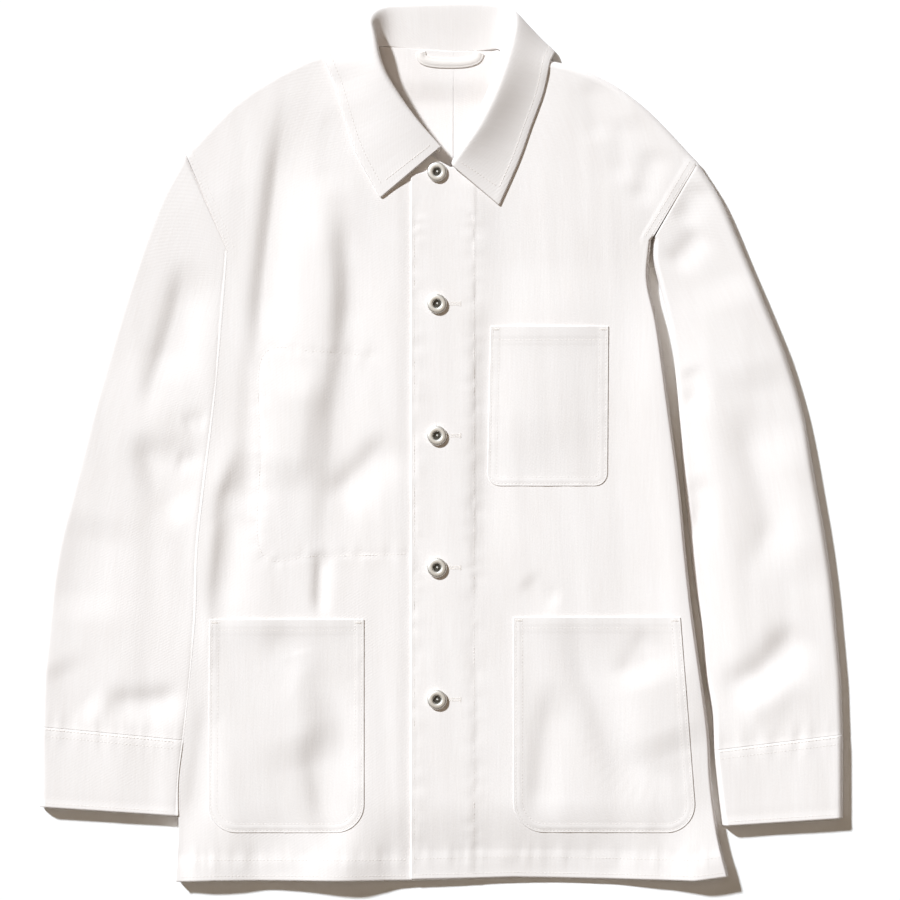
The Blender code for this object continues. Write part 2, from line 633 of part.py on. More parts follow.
def pocket(name, panel, top, bottom, material):
    """A patch on a front, made from the front's own points, moved out."""
    outer, normals, marks, lines = panel
    rows = slice(marks[bottom], marks[top] + 1)
    columns = slice(lines[2], lines[3] + 1)
    face = outer[rows, columns].copy()
    out = normals[rows, columns].copy()
    last = face.shape[1] - 1
    for column, inward in ((0, 1), (last, -1)):
        middle = 0.5 * (face[1, column] + face[0, column + inward])
        face[0, column] += (middle - face[0, column]) * 2 * POCKET_CORNER
    return wall(name, face + out * (POCKET_GAP + POCKET_CLOTH), face + out * POCKET_GAP, material)


def bezier(a, b, c, d, steps):
    t = np.linspace(0.0, 1.0, steps + 1)[:, None]
    return a * (1 - t) ** 3 + 3 * b * t * (1 - t) ** 2 + 3 * c * t**2 * (1 - t) + d * t**3


def collar_grid():
    """Middle face of the collar: for each station, from the neck seam over the roll to the edge."""
    stations = [[*neck, *roll, *edge, size] for neck, roll, edge, size in COLLAR_STATIONS]
    table = np.array(stations, dtype=float)
    position = np.linspace(0.0, 1.0, COLLAR_LENGTHWISE)
    dense = polyline(table, 12)
    at = np.linspace(0.0, 1.0, len(dense))
    stations = np.column_stack([np.interp(position, at, dense[:, k]) for k in range(dense.shape[1])])
    rows = []
    for station in stations:
        neck, roll, edge, size = station[0:3], station[3:6], station[6:9], station[9]
        turn = (edge - neck) / np.linalg.norm(edge - neck) * size
        lean = neck + STAND_LEAN * (roll - neck)
        reach = edge + FALL_REACH * (roll - edge) * np.array([1.0, 1.0, FALL_LEVEL])
        stand = bezier(neck, lean, roll - turn, roll, COLLAR_STAND_STEPS)
        fall = bezier(roll, roll + turn, reach, edge, COLLAR_FALL_STEPS)
        rows.append(np.concatenate([stand, fall[1:]]))
    return np.array(rows)


def collar(material):
    middle = collar_grid()
    normals = grid_normals(middle)
    half = COLLAR_CLOTH / 2
    faces = [middle + normals * half, middle - normals * half]
    for face in faces:
        face[..., 2] = np.maximum(face[..., 2], 0.0)
    return wall("collar", *faces, material)


def hanger_loop(material):
    path = polyline(LOOP_PATH, 2)
    run = np.gradient(path, axis=0)
    side = np.column_stack([-run[:, 1], run[:, 0]]) / np.linalg.norm(run, axis=1)[:, None]
    plan = np.stack([path + side * share * LOOP_WIDTH for share in (0.5, 0.0, -0.5)], axis=1)
    low = back_bottom(plan[..., 0], plan[..., 1], "left") + CLOTH + LOOP_SEAT
    bulge = np.array([0.0, LOOP_CROWN, 0.0])[None, :]
    under = np.dstack([plan, low])
    over = np.dstack([plan, low + LOOP_CLOTH + bulge])
    return wall("hanger_loop", over, under, material)


def button_profile():
    """Half section of a tack button, from the pin at its middle to the middle of its underside."""
    rim = BUTTON_RADIUS
    tall = BUTTON_HEIGHT
    return (
        (0.0, 0.74 * tall),
        (0.13 * rim, 0.70 * tall),
        (0.16 * rim, 0.34 * tall),
        (0.42 * rim, 0.34 * tall),
        (0.52 * rim, 0.84 * tall),
        (0.72 * rim, tall),
        (0.92 * rim, 0.82 * tall),
        (rim, 0.50 * tall),
        (0.90 * rim, 0.16 * tall),
        (0.45 * rim, 0.0),
        (0.0, 0.0),
    )


def button(number, centre_y, material):
    angles = np.arange(BUTTON_SIDES) * 2 * math.pi / BUTTON_SIDES
    around = np.column_stack([np.cos(angles), np.sin(angles)])
    reach = np.array([BUTTON_X, centre_y]) + around * BUTTON_RADIUS
    seat = float(front_left_top(reach[:, 0], reach[:, 1]).max()) + SEAM_GAP
    profile = button_profile()
    vertices = [(BUTTON_X, centre_y, seat + profile[0][1])]
    for radius, height in profile[1:-1]:
        vertices += [(BUTTON_X + radius * c, centre_y + radius * s, seat + height) for c, s in around]
    vertices.append((BUTTON_X, centre_y, seat + profile[-1][1]))
    rings = len(profile) - 2
    faces = []
    for k in range(BUTTON_SIDES):
        after = (k + 1) % BUTTON_SIDES
        faces.append([0, 1 + k, 1 + after])
        for ring in range(rings - 1):
            first = 1 + ring * BUTTON_SIDES
            second = first + BUTTON_SIDES
            faces.append([first + k, second + k, second + after, first + after])
        base = 1 + (rings - 1) * BUTTON_SIDES
        faces.append([base + k, len(vertices) - 1, base + after])
    return new_object(f"button_{number}", vertices, faces, material)


def build_jacket():
    denim = plain_material("white_denim", DENIM, 0.9)
    pocket_denim = plain_material("pocket_denim", POCKET_DENIM, 0.9)
    tape = plain_material("loop_tape", TAPE, 0.9)
    nickel = plain_material("nickel", NICKEL, 0.35, 1.0)
    fronts = {side: front_panel(side, denim) for side in ("left", "right")}
    for side in ("left", "right"):
        back_panel(side, denim)
    sleeve("left", SLEEVE_LEFT_SECTIONS, denim)
    cuff("left", CUFF_LEFT_SECTIONS, denim)
    sleeve("right", SLEEVE_RIGHT_SECTIONS, denim)
    cuff("right", CUFF_RIGHT_SECTIONS, denim)
    collar(denim)
    pocket("chest_pocket", fronts["left"], "chest top", "chest bottom", pocket_denim)
    pocket("lower_pocket_left", fronts["left"], "pocket top", "pocket bottom", pocket_denim)
    pocket("lower_pocket_right", fronts["right"], "pocket top", "pocket bottom", pocket_denim)
    hanger_loop(tape)
    for number, centre_y in enumerate(BUTTON_Y, start=1):
        button(number, centre_y, nickel)


for leftover in list(bpy.data.objects):
    bpy.data.objects.remove(leftover, do_unlink=True)
build_jacket()
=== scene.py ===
"""Dresses the off-white denim chore jacket, laid flat on a pale floor and seen from straight above.

Lengths in the tables are millimetres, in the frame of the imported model: X across the jacket, Y from
the hem to the collar, Z up. "Left" and "right" are the wearer's, so the left front lies at +X.
"""

import math

import bmesh
import bpy
import numpy as np
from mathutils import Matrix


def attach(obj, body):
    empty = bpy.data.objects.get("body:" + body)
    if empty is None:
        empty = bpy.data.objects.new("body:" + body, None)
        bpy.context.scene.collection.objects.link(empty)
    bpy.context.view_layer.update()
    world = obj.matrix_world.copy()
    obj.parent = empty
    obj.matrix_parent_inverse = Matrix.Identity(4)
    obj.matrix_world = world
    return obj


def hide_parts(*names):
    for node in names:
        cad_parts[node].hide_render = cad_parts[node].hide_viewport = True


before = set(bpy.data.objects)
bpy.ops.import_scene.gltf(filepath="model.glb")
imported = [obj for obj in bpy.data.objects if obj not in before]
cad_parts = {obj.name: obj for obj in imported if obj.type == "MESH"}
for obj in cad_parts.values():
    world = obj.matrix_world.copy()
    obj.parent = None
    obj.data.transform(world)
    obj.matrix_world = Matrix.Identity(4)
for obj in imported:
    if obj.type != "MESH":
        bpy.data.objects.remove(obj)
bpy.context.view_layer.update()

MM = 0.001
SIDES = ("left", "right")

# Cloth and its grids
CLOTH = 1.8
COLLAR_CLOTH = 2.4
POCKET_CLOTH = 0.4
SEAM_GAP = 0.3
ARMHOLE_TUCK = 1.2  # how far the sleeve's edge is tucked under the body at the armhole
ARMHOLE_DROP = 0.9
ARMHOLE_BLEND = 14.0  # width over which body and sleeve ease to one height
FELLED = 8.0  # width of the felled seam beside the armhole
FELLED_EASE = 2.0
FELLED_RISE = {"left": 0.4, "right": 0.05}
FRONT_CELL = 2.4  # spacing of a grid's points
BACK_CELL = 5.0
SLEEVE_CELL = 2.4
ROW_STRETCH = 1.5  # rows lie this much further apart than columns, because folds run along the cloth
POCKET_CELL = 2.1
COLLAR_CELL = 1.6
ROLL_STEPS = 9
HOLD = 0.25  # share of a cell between an open edge and the row that keeps it crisp

# How the flattened jacket stands off the floor
ROLL_HEIGHT = 6.5
EDGE_TOP = 14.0
BODY_TOP = 15.0
SLEEVE_TOP = 13.0
ROLL_RADIUS = 6.0
TIGHT_ROLL = 3.0
LIMP_ROLL = 4.5  # the left sleeve's edge beside the body
LIMP_HEIGHT = 4.0
PRESSED_ROLL = 2.4  # where the right sleeve presses against the body
PRESSED_DROP = 0.4  # how far the sleeve's edge dips there
PRESSED_GAP = 0.05  # between sleeve and body
PRESSED_HEIGHT = 10.5  # height of the line along which they meet
PRESSED_BLEND = 14.0  # width over which both ease to one height
NEGLIGIBLE = 0.002  # share of a neighbour's height that needn't be worked out
CROWN_REACH = 70.0
LAP_LIFT = 0.6
LAP_SLACK = 0.1
LAP_WIDTH = 44.0
LAP_RUNOUT = 30.0
LAP_EASE = 14.0
NECK_LIFT = 3.4
NECK_LIFT_FROM = 296.0
NECK_LIFT_HALF = 92.0
NECK_LIFT_EASE = 26.0
HEM_FIRMNESS = 0.6
HEM_REACH = 70.0
FREE_FOLD = 0.3  # least share of a fold's round at which a panel's edge is no longer held by it
FOLD_DEPTH = 1.05  # the cloth's folds against the solids' folds: a little deeper and wider
FOLD_WIDTH = 1.3
FOLD_REACH = 2.7  # widths of a fold beyond which it is left out
FOLD_END = 0.3  # share of a fold's length over which it dies out at each end

# Smooth chance heights, and the unevenness of washed cloth as (height, width, length, turn)
CHANCE_GRID = 97  # chance values each way, before they repeat
CHANCE_HEIGHT = 1.6
STREAKS = ((0.45, 17.0, 120.0, 0.0), (0.2, 8.0, 60.0, 0.06))
DENTS = ((0.5, 46.0, 58.0, 0.5), (0.07, 15.0, 19.0, 0.9))
SEEDS = {"hem": 5, "cuff": 7, "pocket": 9, "body": 11, "sleeve": 31}

# Turnings and seams that show as relief
TURNING = 0.8  # one more layer of cloth under the face
LAYER_EDGE = 2.6  # width over which its edge shows
HEM_TURN = 19.0  # height of the turned hem
HEM_STITCH = 1.5  # and how far below that its stitches run
FACING_STITCH_X = 29.0
FACING_RISE = 0.4
SEAM_DIP = 0.25  # how far a row of stitches pulls the cloth in
SEAM_DIP_WIDTH = 2.2
PUCKER = 0.36  # height of the puckers beside a row of stitches
PUCKER_PITCH = 8.0
PUCKER_REACH = 9.0
PUCKER_LENGTH = 40.0
HEM_PUCKER = 1.4  # how much higher the hem's puckers are
HEM_PUCKER_LENGTH = 30.0
CUFF_PUCKER = 1.6  # and those above the cuff
CUFF_PUCKER_REACH = 14.0
CUFF_EASE = 2.4
CUFF_RIM = 0.4  # how much thicker the cuff's end is
CUFF_RIM_WIDTH = 4.0
CUFF_STITCH = 8.0  # the upper rows' distance from the cuff's seam and from its end
CUFF_DIP_WIDTH = 2.0


def straight(name, y, *places):
    """A row of a front whose points all lie at one y."""
    return (name, *((x, y) for x in places))


# Rows of the left front, from hem to neck: free edge, stitched facing line, inner and outer line of
# its pockets, outer edge. Each is (x, y).
FRONT_LEFT_SECTIONS = (
    # row, free edge, facing line, pocket inner, pocket outer, outer edge
    ("hem", (-26, -384), (29, -383), (63, -382), (223, -385), (253, -381)),
    straight("pocket bottom", -343, -26, 29, 64, 225, 244),
    straight("pocket corner", -297, -26, 29, 64, 221, 238),
    straight("pocket middle", -248, -26, 29, 64, 216, 235),
    straight("pocket top", -154, -26, 29, 64, 210, 222),
    straight("waist", -95, -26, 29, 52, 175, 215.5),
    straight("chest bottom", -38, -26, 29, 41, 146, 210),
    straight("chest middle", 37, -26, 29, 43, 146, 200),
    straight("chest top", 102, -26, 29, 44, 147, 191),
    straight("above chest", 143, -26, 29, 43, 143, 182.5),
    straight("underarm", 178, -26, 28, 42, 140, 185),
    ("armhole", (-26, 196), (26, 198), (41, 203), (136, 211), (205.5, 212.5)),
    ("shoulder point", (-26, 209), (23, 215), (40, 226), (133, 242), (226, 247)),
    ("shoulder", (-26, 220), (18, 228), (34, 247), (105, 282), (176, 298)),
    ("by the collar", (-26, 228), (15, 235), (28, 257), (77, 303), (126, 328)),
    ("neck", (-26, 235), (11, 242), (21, 264), (41, 303), (56, 345)),
)

# Rows of the right front. Its first line is the edge that lies under the left front.
FRONT_RIGHT_SECTIONS = (
    # row, under edge, lap line, pocket inner, pocket outer, outer edge
    ("hem", (18, -384), (-28, -385), (-71, -385), (-199, -385), (-233, -386)),
    straight("pocket bottom", -343, 18, -28, -68, -205, -231),
    straight("pocket corner", -297, 18, -28, -68, -204, -231),
    straight("pocket middle", -248, 18, -28, -68, -202, -225),
    straight("pocket top", -156, 18, -28, -68, -203, -216),
    straight("waist", -95, 18, -28, -69, -193, -214),
    straight("chest bottom", -38, 18, -28, -70, -184, -208),
    straight("chest middle", 37, 18, -28, -71, -177, -199),
    straight("chest top", 102, 18, -28, -73, -172, -193),
    straight("above chest", 139, 18, -28, -74, -171, -190),
    ("underarm", (18, 169), (-29, 171), (-75, 172), (-168, 171), (-188, 169)),
    ("armhole", (18, 189), (-30, 194), (-78, 202), (-164, 210), (-207, 213)),
    ("shoulder point", (18, 206), (-32, 215), (-84, 231), (-164, 249), (-226, 257)),
    ("shoulder", (18, 220), (-26, 242), (-70, 270), (-128, 296), (-175, 307)),
    ("by the collar", (18, 229), (-15, 256), (-45, 287), (-80, 317), (-108, 343)),
    ("neck", (17, 236), (-8, 252), (-33, 295), (-51, 325), (-61, 349.5)),
)
FRONT_SECTIONS = {"left": FRONT_LEFT_SECTIONS, "right": FRONT_RIGHT_SECTIONS}
FREE_EDGE_X, HEM_Y = FRONT_LEFT_SECTIONS[0][1]

# The back has a row for each of the fronts, from Y on its centre seam to the front's outer edge
BACK_SEAM_Y = (-384, -343, -297, -248, -155, -95, -38, 37, 102, 141, 174, 204, 240, 283, 316, 344.7)
BACK_SEAM_X = 11.0
BACK_MIDDLE = 0.55  # share of a row's way at which its middle point lies
BENDS = ("underarm", "shoulder point")  # rows where the outline turns a corner

# Rows of the sleeves, from armhole to cuff: outer edge, edge beside the body
SLEEVE_LEFT_SECTIONS = (
    # outer edge, body edge
    ((226, 247), (187, 178)),
    ((247, 213), (187, 161)),
    ((268, 164), (193.5, 134)),
    ((286, 121), (201, 103)),
    ((304, 76), (206.5, 62)),
    ((319, 26), (211, 13)),
    ((328, -24), (214, -33)),
    ((337, -74), (219, -80)),
    ((344, -121), (223.5, -124)),
    ((348, -161), (229.5, -161)),
    ((352, -205), (233, -205)),
    ((353, -231), (239, -237)),
    ((354, -257), (240.5, -271)),
)
CUFF_LEFT_SECTIONS = (
    SLEEVE_LEFT_SECTIONS[-1],
    ((354, -293), (244, -304)),
    ((354, -330), (248, -337)),
)
SLEEVE_RIGHT_SECTIONS = (
    # outer edge, body edge
    ((-227, 256), (-189.5, 168.5)),
    ((-251, 210), (-191, 149)),
    ((-274, 146), (-194.5, 115)),
    ((-294, 80), (-198, 62)),
    ((-311, 20), (-204, 9)),
    ((-325, -36), (-210.5, -42)),
    ((-339, -93), (-216, -96)),
    ((-347, -149), (-218, -158)),
    ((-352, -205), (-222.5, -214)),
    ((-354, -250), (-228, -262)),
)
CUFF_RIGHT_SECTIONS = (
    SLEEVE_RIGHT_SECTIONS[-1],
    ((-354, -285), (-232, -295)),
    ((-354, -320), (-233.5, -328)),
)

SLEEVE_SECTIONS = {"left": SLEEVE_LEFT_SECTIONS, "right": SLEEVE_RIGHT_SECTIONS}
CUFF_SECTIONS = {"left": CUFF_LEFT_SECTIONS, "right": CUFF_RIGHT_SECTIONS}

# How high the front's lower edge stands above the floor: (x, height)
HEM_WAVES = (
    (-233, 12), (-215, 15), (-190, 14.5), (-160, 11), (-125, 14), (-90, 19), (-62, 14), (-40, 9),
    (0, 8), (50, 6.8), (102, 5.8), (150, 7), (195, 12), (225, 18), (253, 17),
)

# Folds in the fronts. The spine runs down the fold; a trough has a negative height. The fold's side
# towards the upper left is "near" wide, and its other side "far" wide.
BODY_FOLDS = (
    # name, height, near width, far width, spine
    ("armpit trough", -4.5, 7, 20, ((-136, 312), (-141, 257), (-150, 187), (-157, 125), (-161, 51))),
    ("breast ridge", 3.0, 22, 10, ((-112, 235), (-100, 150), (-104, 60), (-116, 10))),
    ("front trough", -2.3, 9, 22, ((-92, 225), (-80, 161), (-83, 99), (-91, 37), (-106, -149))),
    ("slanting fold", -3.0, 9, 16, ((-42, 8), (-62, -16), (-80, -34), (-100, -56))),
    ("waist ridge", 3.0, 26, 12, ((-117, 70), (-124, 15), (-133, -45))),
    ("side drop", 3.0, 16, 9, ((-176, 15), (-196, -40), (-203, -95), (-209, -174), (-214, -230))),
    ("side trough", -2.5, 8, 22, ((-168, 2), (-189, -51), (-193, -95), (-199, -174))),
    ("pocket side", -2.0, 8, 14, ((-204, -215), (-214, -290), (-226, -350))),
    ("hem trough", -3.0, 8, 16, ((-117, -245), (-110, -290), (-100, -330), (-80, -372))),
    ("pocket ridge", 2.5, 26, 12, ((-128, -170), (-128, -230), (-120, -290))),
    ("pocket mouth", -0.8, 10, 18, ((-129, -160), (-146, -190), (-120, -206))),
    ("facing trough", -2.2, 9, 16, ((42, 150), (41, 60), (39, -50), (40, -140))),
    ("chest ridge", 2.2, 40, 26, ((98, 160), (96, 60), (92, -30))),
    ("side ridge", 5.2, 24, 10, ((182, 170), (186, 115), (194, 45), (204, -38), (215, -140), (238, -325))),
    ("neck streak", -1.0, 8, 12, ((128, 322), (133, 290), (140, 262))),
    ("shoulder streak", -1.1, 9, 14, ((158, 290), (161, 262), (158, 225))),
    ("armhole fold", -1.4, 8, 10, ((190, 262), (182, 235), (172, 205))),
    ("waist tuck", -1.2, 7, 10, ((72, -118), (86, -131), (106, -142))),
    ("sagging fold", -3.2, 10, 18, ((105, -150), (131, -209), (149, -262), (178, -291), (222, -300))),
    ("corner fold", -1.3, 8, 14, ((184, -162), (172, -186), (156, -212))),
    ("low fold", -2.4, 9, 16, ((101, -205), (93, -262), (88, -300), (84, -345))),
    ("pocket swell", 2.4, 26, 20, ((180, -190), (196, -240), (208, -275))),
)
RIGHT_SLEEVE_FOLDS = (
    ("upper fold", -3.4, 8, 20, ((-222, 165), (-234, 110), (-250, 58), (-259, 18))),
    ("elbow fold", -3.2, 9, 14, ((-262, 14), (-254, -24), (-240, -50), (-222, -72))),
    ("elbow ridge", 2.2, 20, 16, ((-240, 80), (-246, 30), (-236, -20))),
    ("elbow crease", -1.1, 6, 8, ((-228, 14), (-216, 19), (-204, 18))),
    ("crook crease", -1.1, 6, 8, ((-234, -14), (-222, -16), (-210, -8))),
    ("forearm hollow", -2.0, 22, 26, ((-300, -60), (-312, -110), (-316, -160))),
    ("cuff fold", -3.0, 8, 12, ((-300, -228), (-258, -228), (-220, -222))),
    ("cuff hollow", -1.8, 12, 16, ((-340, -190), (-322, -222), (-300, -240))),
)
LEFT_SLEEVE_FOLDS = (
    ("cap fold", -2.0, 8, 12, ((222, 232), (216, 208), (204, 190))),
    ("cap crease", -2.0, 8, 10, ((232, 190), (218, 172), (200, 152))),
    ("upper swell", 2.4, 24, 26, ((252, 150), (268, 90), (280, 40))),
    ("inner crease", -1.5, 6, 8, ((216, 68), (224, 48), (218, 26))),
    ("inner fold", -1.6, 6, 9, ((222, -28), (229, -52), (224, -88))),
    ("long fold", -3.0, 10, 16, ((262, 42), (272, -4), (290, -68), (274, -124))),
    ("outer ridge", 2.2, 22, 18, ((306, 20), (320, -60), (318, -130))),
    ("lower fold", -4.5, 11, 15, ((318, -158), (296, -188), (276, -206), (242, -219))),
    ("cuff swell", 2.0, 18, 12, ((316, -200), (290, -224), (262, -236))),
    ("side hollow", -5.6, 9, 17, (
        (190, 185), (194, 140), (201, 90), (210, 20),
        (217, -40), (224, -120), (238, -215), (246, -290),
    )),
)
SLEEVE_FOLDS = {"left": LEFT_SLEEVE_FOLDS, "right": RIGHT_SLEEVE_FOLDS}

# Smaller creases in the fronts, too fine for the solids
BODY_CREASES = (
    # name, height, near width, far width, spine
    ("side crease", -1.7, 9, 12, (
        (-167, -10), (-179, -39), (-191, -50),
        (-193, -64), (-189, -79), (-195, -127), (-199, -180),
    )),
    ("front dip", -1.3, 8, 12, ((-88, 205), (-84, 170), (-80, 134), (-82, 99), (-88, 80))),
    ("pocket hang", -2.4, 4, 6, ((-106, -92), (-106, -110), (-107, -135), (-105, -156))),
    ("pocket edge", -1.7, 8, 8, ((-166, 100), (-168, 40), (-169, -30), (-165, -105))),
    ("pocket slope", -2.2, 14, 13, ((-158, -160), (-130, -192), (-98, -222), (-87, -270), (-80, -318))),
    ("pocket drop", -0.6, 8, 14, ((-103, -240), (-102, -262), (-102, -314), (-98, -335))),
    ("yoke streak", -0.9, 9, 14, ((-92, 300), (-98, 262), (-100, 215))),
)

# Collar, from the right front's end to the left's: seam on the neck, top of the roll, outer edge
COLLAR_STATIONS = (
    # neck (x, y, z), roll (x, y, z), outer edge (x, y, z), size of the roll
    ((-3, 254.5, 16.5), (-2, 259, 21), (-53, 216, 19), 3.0),
    ((-19.5, 276.5, 12), (-22, 281, 24), (-73, 253, 18), 4.0),
    ((-35.5, 302, 9), (-39.5, 304, 26), (-84.5, 286, 18), 4.5),
    ((-50, 327, 8), (-53.5, 329, 27), (-94, 318, 18), 4.5),
    ((-57, 346.5, 8), (-60, 356, 25), (-106, 350, 12.5), 4.5),
    ((-54, 349.5, 7.5), (-62.5, 373, 19), (-93, 351, 1.4), 4.5),
    ((-40, 348.5, 3.9), (-50, 383, 7.5), (-62, 346, 1.3), 4.5),
    ((-16, 346.6, 3.5), (-20, 385, 6), (-20, 342, 1.3), 4.5),
    ((11, 344.8, 3.5), (11, 386, 6), (11, 341, 1.3), 4.5),
    ((36, 345.6, 3.5), (40, 385.5, 6), (42, 342, 1.3), 4.5),
    ((49, 347, 3.9), (59, 382, 8.5), (74, 345, 1.3), 4.5),
    ((53, 344, 9), (66, 373, 16), (98, 346, 3.0), 4.5),
    ((51, 335, 15), (63.5, 350, 22), (95, 334, 14), 4.5),
    ((42, 310, 17), (51.5, 312, 27.5), (89.5, 308, 17.2), 5.0),
    ((30, 284, 17), (37.5, 282, 27.5), (78.5, 277.5, 17.6), 5.0),
    ((18.5, 261, 17), (24, 261, 25), (68, 248, 18.5), 4.0),
    ((10.5, 247, 17), (11.4, 243, 20.5), (51, 209.5, 20), 3.0),
)
STAND_LEAN = 0.4
FALL_REACH = 0.45
FALL_LEVEL = 0.35
LEAF_ON_FRONT = 11.0  # height above which the collar's edge lies over a front
LEAF_TOP = 338.0  # and the line above which it leaves the front for the neck
LEAF_EASE = 25.0
LEAF_REST = 0.2  # between a leaf's edge and the front that it lies on
STAND_STEPS = 14  # columns from the neck seam to the roll, and from there to the edge
FALL_STEPS = 30
ROLL_COLUMN = STAND_STEPS + 4  # column beyond which the topstitching of the collar's ends begins
LEAF_COLUMN = -8  # a column that lies flat, between roll and edge
COLLAR_STITCH = 6.0  # topstitching's distance from the collar's edge
COLLAR_RELIEF = 0.25  # dip along the topstitching, and rise of the seam allowances inside it
COLLAR_DIP_WIDTH = 1.6
COLLAR_EASE = 2.0
EDGE_THINNING = 0.5
EDGE_THINNING_WIDTH = 2.5

# Patch pockets: lower left corner, lower right corner, upper right corner, upper left corner
CHEST_CORNERS = ((41, -38), (146, -38), (147, 102), (44, 102))
LOWER_LEFT_CORNERS = ((64, -343), (225, -343), (210, -154), (64, -154))
LOWER_RIGHT_CORNERS = ((-205, -343), (-68, -343), (-68, -156), (-203, -156))
POCKETS = (
    # name, node, side, corners (x, y), corner radius, depth of the turned mouth
    ("chest_pocket_patch", "chest_pocket", "left", CHEST_CORNERS, 11.0, 13.0),
    ("lower_left_pocket_patch", "lower_pocket_left", "left", LOWER_LEFT_CORNERS, 27.0, 10.5),
    ("lower_right_pocket_patch", "lower_pocket_right", "right", LOWER_RIGHT_CORNERS, 25.0, 10.5),
)
ROUND_CORNER = 0.55  # how far a curve's handles reach towards its corner
POCKET_SEAT = 0.15
POCKET_UNDERSIDE = 0.1  # its back face's height over the front
POCKET_TURNING = 0.2
POCKET_EASE = 2.4
POCKET_DIP = 0.28
POCKET_DIP_WIDTH = 1.3
POCKET_PUCKER = 0.16
POCKET_LUMPS = (4.5, 5.5)  # width and length of its puckers
POCKET_PUCKER_REACH = 10.0
MOUTH_TURNING = 0.3
MOUTH_STITCH = 1.2  # how far above the turned edge its stitches run
MOUTH_SLACK = 0.9  # how far the mouth's middle stands off the front
MOUTH_SLACK_REACH = 16.0
MOUTH_SLACK_INSET = 30.0
TACK_INSET = 4.5
POCKET_EDGE_STITCHES = (1.8, 7.6)  # distances of the two rows of stitches from a pocket's edge

# Fastenings
BUTTON_X = -3.5
BUTTON_Y = (238, 122, 6, -110, -226)
BUTTON_RADIUS = 8.6
BUTTON_HEIGHT = 3.3
BUTTON_SIDES = 56
BUTTON_RING = (
    # half section, from the hollow's floor over the rim to the seat: shares of radius and height
    (0.0, 0.22), (0.30, 0.22), (0.38, 0.30), (0.43, 0.80), (0.50, 0.95), (0.64, 1.0),
    (0.84, 0.95), (0.96, 0.78), (1.0, 0.42), (0.93, 0.16), (0.60, 0.0), (0.0, 0.0),
)
BUTTON_HOLLOW = ((0.0, 0.10), (0.25, 0.10), (0.37, 0.16), (0.39, 0.02), (0.0, 0.0))
BUTTON_PIN = ((0.0, 1.7), (0.55, 1.6), (0.85, 1.2), (0.9, 0.1), (0.0, 0.0))
HOLLOW_FLOOR = 0.24  # share of the button's height
PIN_OFFSET = (0.3, 0.2, 0.1)  # the pin stands a little beside the middle
LOOP_PATH = ((-18, 343.5), (-16, 338), (-7, 335), (8, 334.3), (22, 335), (31, 338), (34, 343.5))
LOOP_WIDTH = 8.0
LOOP_CLOTH = 1.0
LOOP_SEAT = 0.2
LOOP_CROWN = 0.8
LOOP_DIP = 0.3  # depth, place across and width of its two rows of stitches
LOOP_DIP_AT = 0.36
LOOP_DIP_WIDTH = 0.08

# Stitching: length of a stitch, pitch, thickness of the thread, rows
STITCH_LENGTH = 2.5
STITCH_PITCH = 3.1
STITCH_START = 0.3  # from a row's start to its first stitch
THREAD = 0.45
FAINT_THREAD = 0.3  # where the stitches have sunk into the cloth
BAR_THREAD = 0.42  # in buttonholes and bar tacks
THREAD_LIFT = 0.1  # of the collar's topstitching off its face
STITCH_SIDES = 6
STITCH_FLATNESS = 0.8
STITCH_RINGS = (
    # share of its length, thickness, rise
    (0.0, 0.30, -0.30), (0.10, 0.85, -0.02), (0.5, 1.0, 0.10), (0.90, 0.85, -0.02), (1.0, 0.30, -0.30),
)
HEM_ROWS = {"left": (-24, 249), "right": (-229, -28)}  # from and to, in X
HEM_EDGE_STITCH = 3.5
ARMHOLE_STITCHES = (2.0, FELLED - 1.6)
CUFF_ROWS = ((0, -2.0), (0, -CUFF_STITCH), (-1, 3.0), (-1, CUFF_STITCH))  # cuff's row, distance up from it
CUFF_ROW_SHARES = (0.04, 0.96, 40)  # from, to and points of a row, in shares of the width
MOUTH_ROW_SHARES = (0.02, 0.98, 40)
BUTTONHOLE_SIDE = (-8.0, 16.4, 0.62)  # from and to in X, and pitch of its bars
BUTTONHOLE_END = (-2.0, 2.1, 0.5)  # the same of the bars at its end, in Y
BUTTONHOLE_END_X = 17.0
BUTTONHOLE_HALF = 0.9
BUTTONHOLE_BARS = ((0.25, 1.5), (1.9, 0.1))  # reach of a bar in X and Y, at its sides and at its end
TACK = (-3.0, 3.1, 0.55)  # from and to in X, and pitch of a pocket's bar tack
TACK_DROP = 2.5
TACK_BAR = (0.1, 2.2)
SEAM_ROWS = {  # facing line and free edge of the left front, inner pocket of the right front
    "left": (
        ((29, -378), (29, -200), (29, 0), (29, 178), (27, 200)),
        ((-23.5, -380), (-23.5, 0), (-23.5, 206)),
    ),
    "right": (((-59, 76), (-110, 80), (-157, 76), (-159, -10), (-158, -97), (-110, -100), (-28, -98)),),
}

# Camera and light
FRAME_WIDTH = 792.0  # what the picture takes in at the height of the cloth
PICTURE_CENTRE = (7.9, -6.6)
PICTURE_HEIGHT = 12.0
LENS = 200.0
SENSOR = 36.0
FLOOR_REACH = 20.0
FLOOR_DROP = 0.2  # the floor lies this far under the cloth, so that they don't flicker
KEY_ELEVATION = 39.0
KEY_AZIMUTH = 135.0  # from +X towards +Y, so the light comes from the upper left
KEY_STRENGTH = 4.7
KEY_SOFTNESS = 5.0
KEY_COLOUR = "#F1F8FF"  # a cool flash
OVERHEAD_SIZE = 5.0
OVERHEAD_HEIGHT = 6.0
OVERHEAD_POWER = 56.0
OVERHEAD_COLOUR = "#FFF0DC"
FILL_STRENGTH = 0.085
FILL_COLOUR = "#FFDAB4"  # a warm room around it, so that shadows look tan


def smooth(value):
    """Eases from 0 to 1 as value goes from 0 to 1."""
    value = np.clip(value, 0.0, 1.0)
    return value * value * (3.0 - 2.0 * value)


def fade(value):
    """Eases from 1 to 0 as value goes from 0 to 1."""
    return 1.0 - smooth(value)


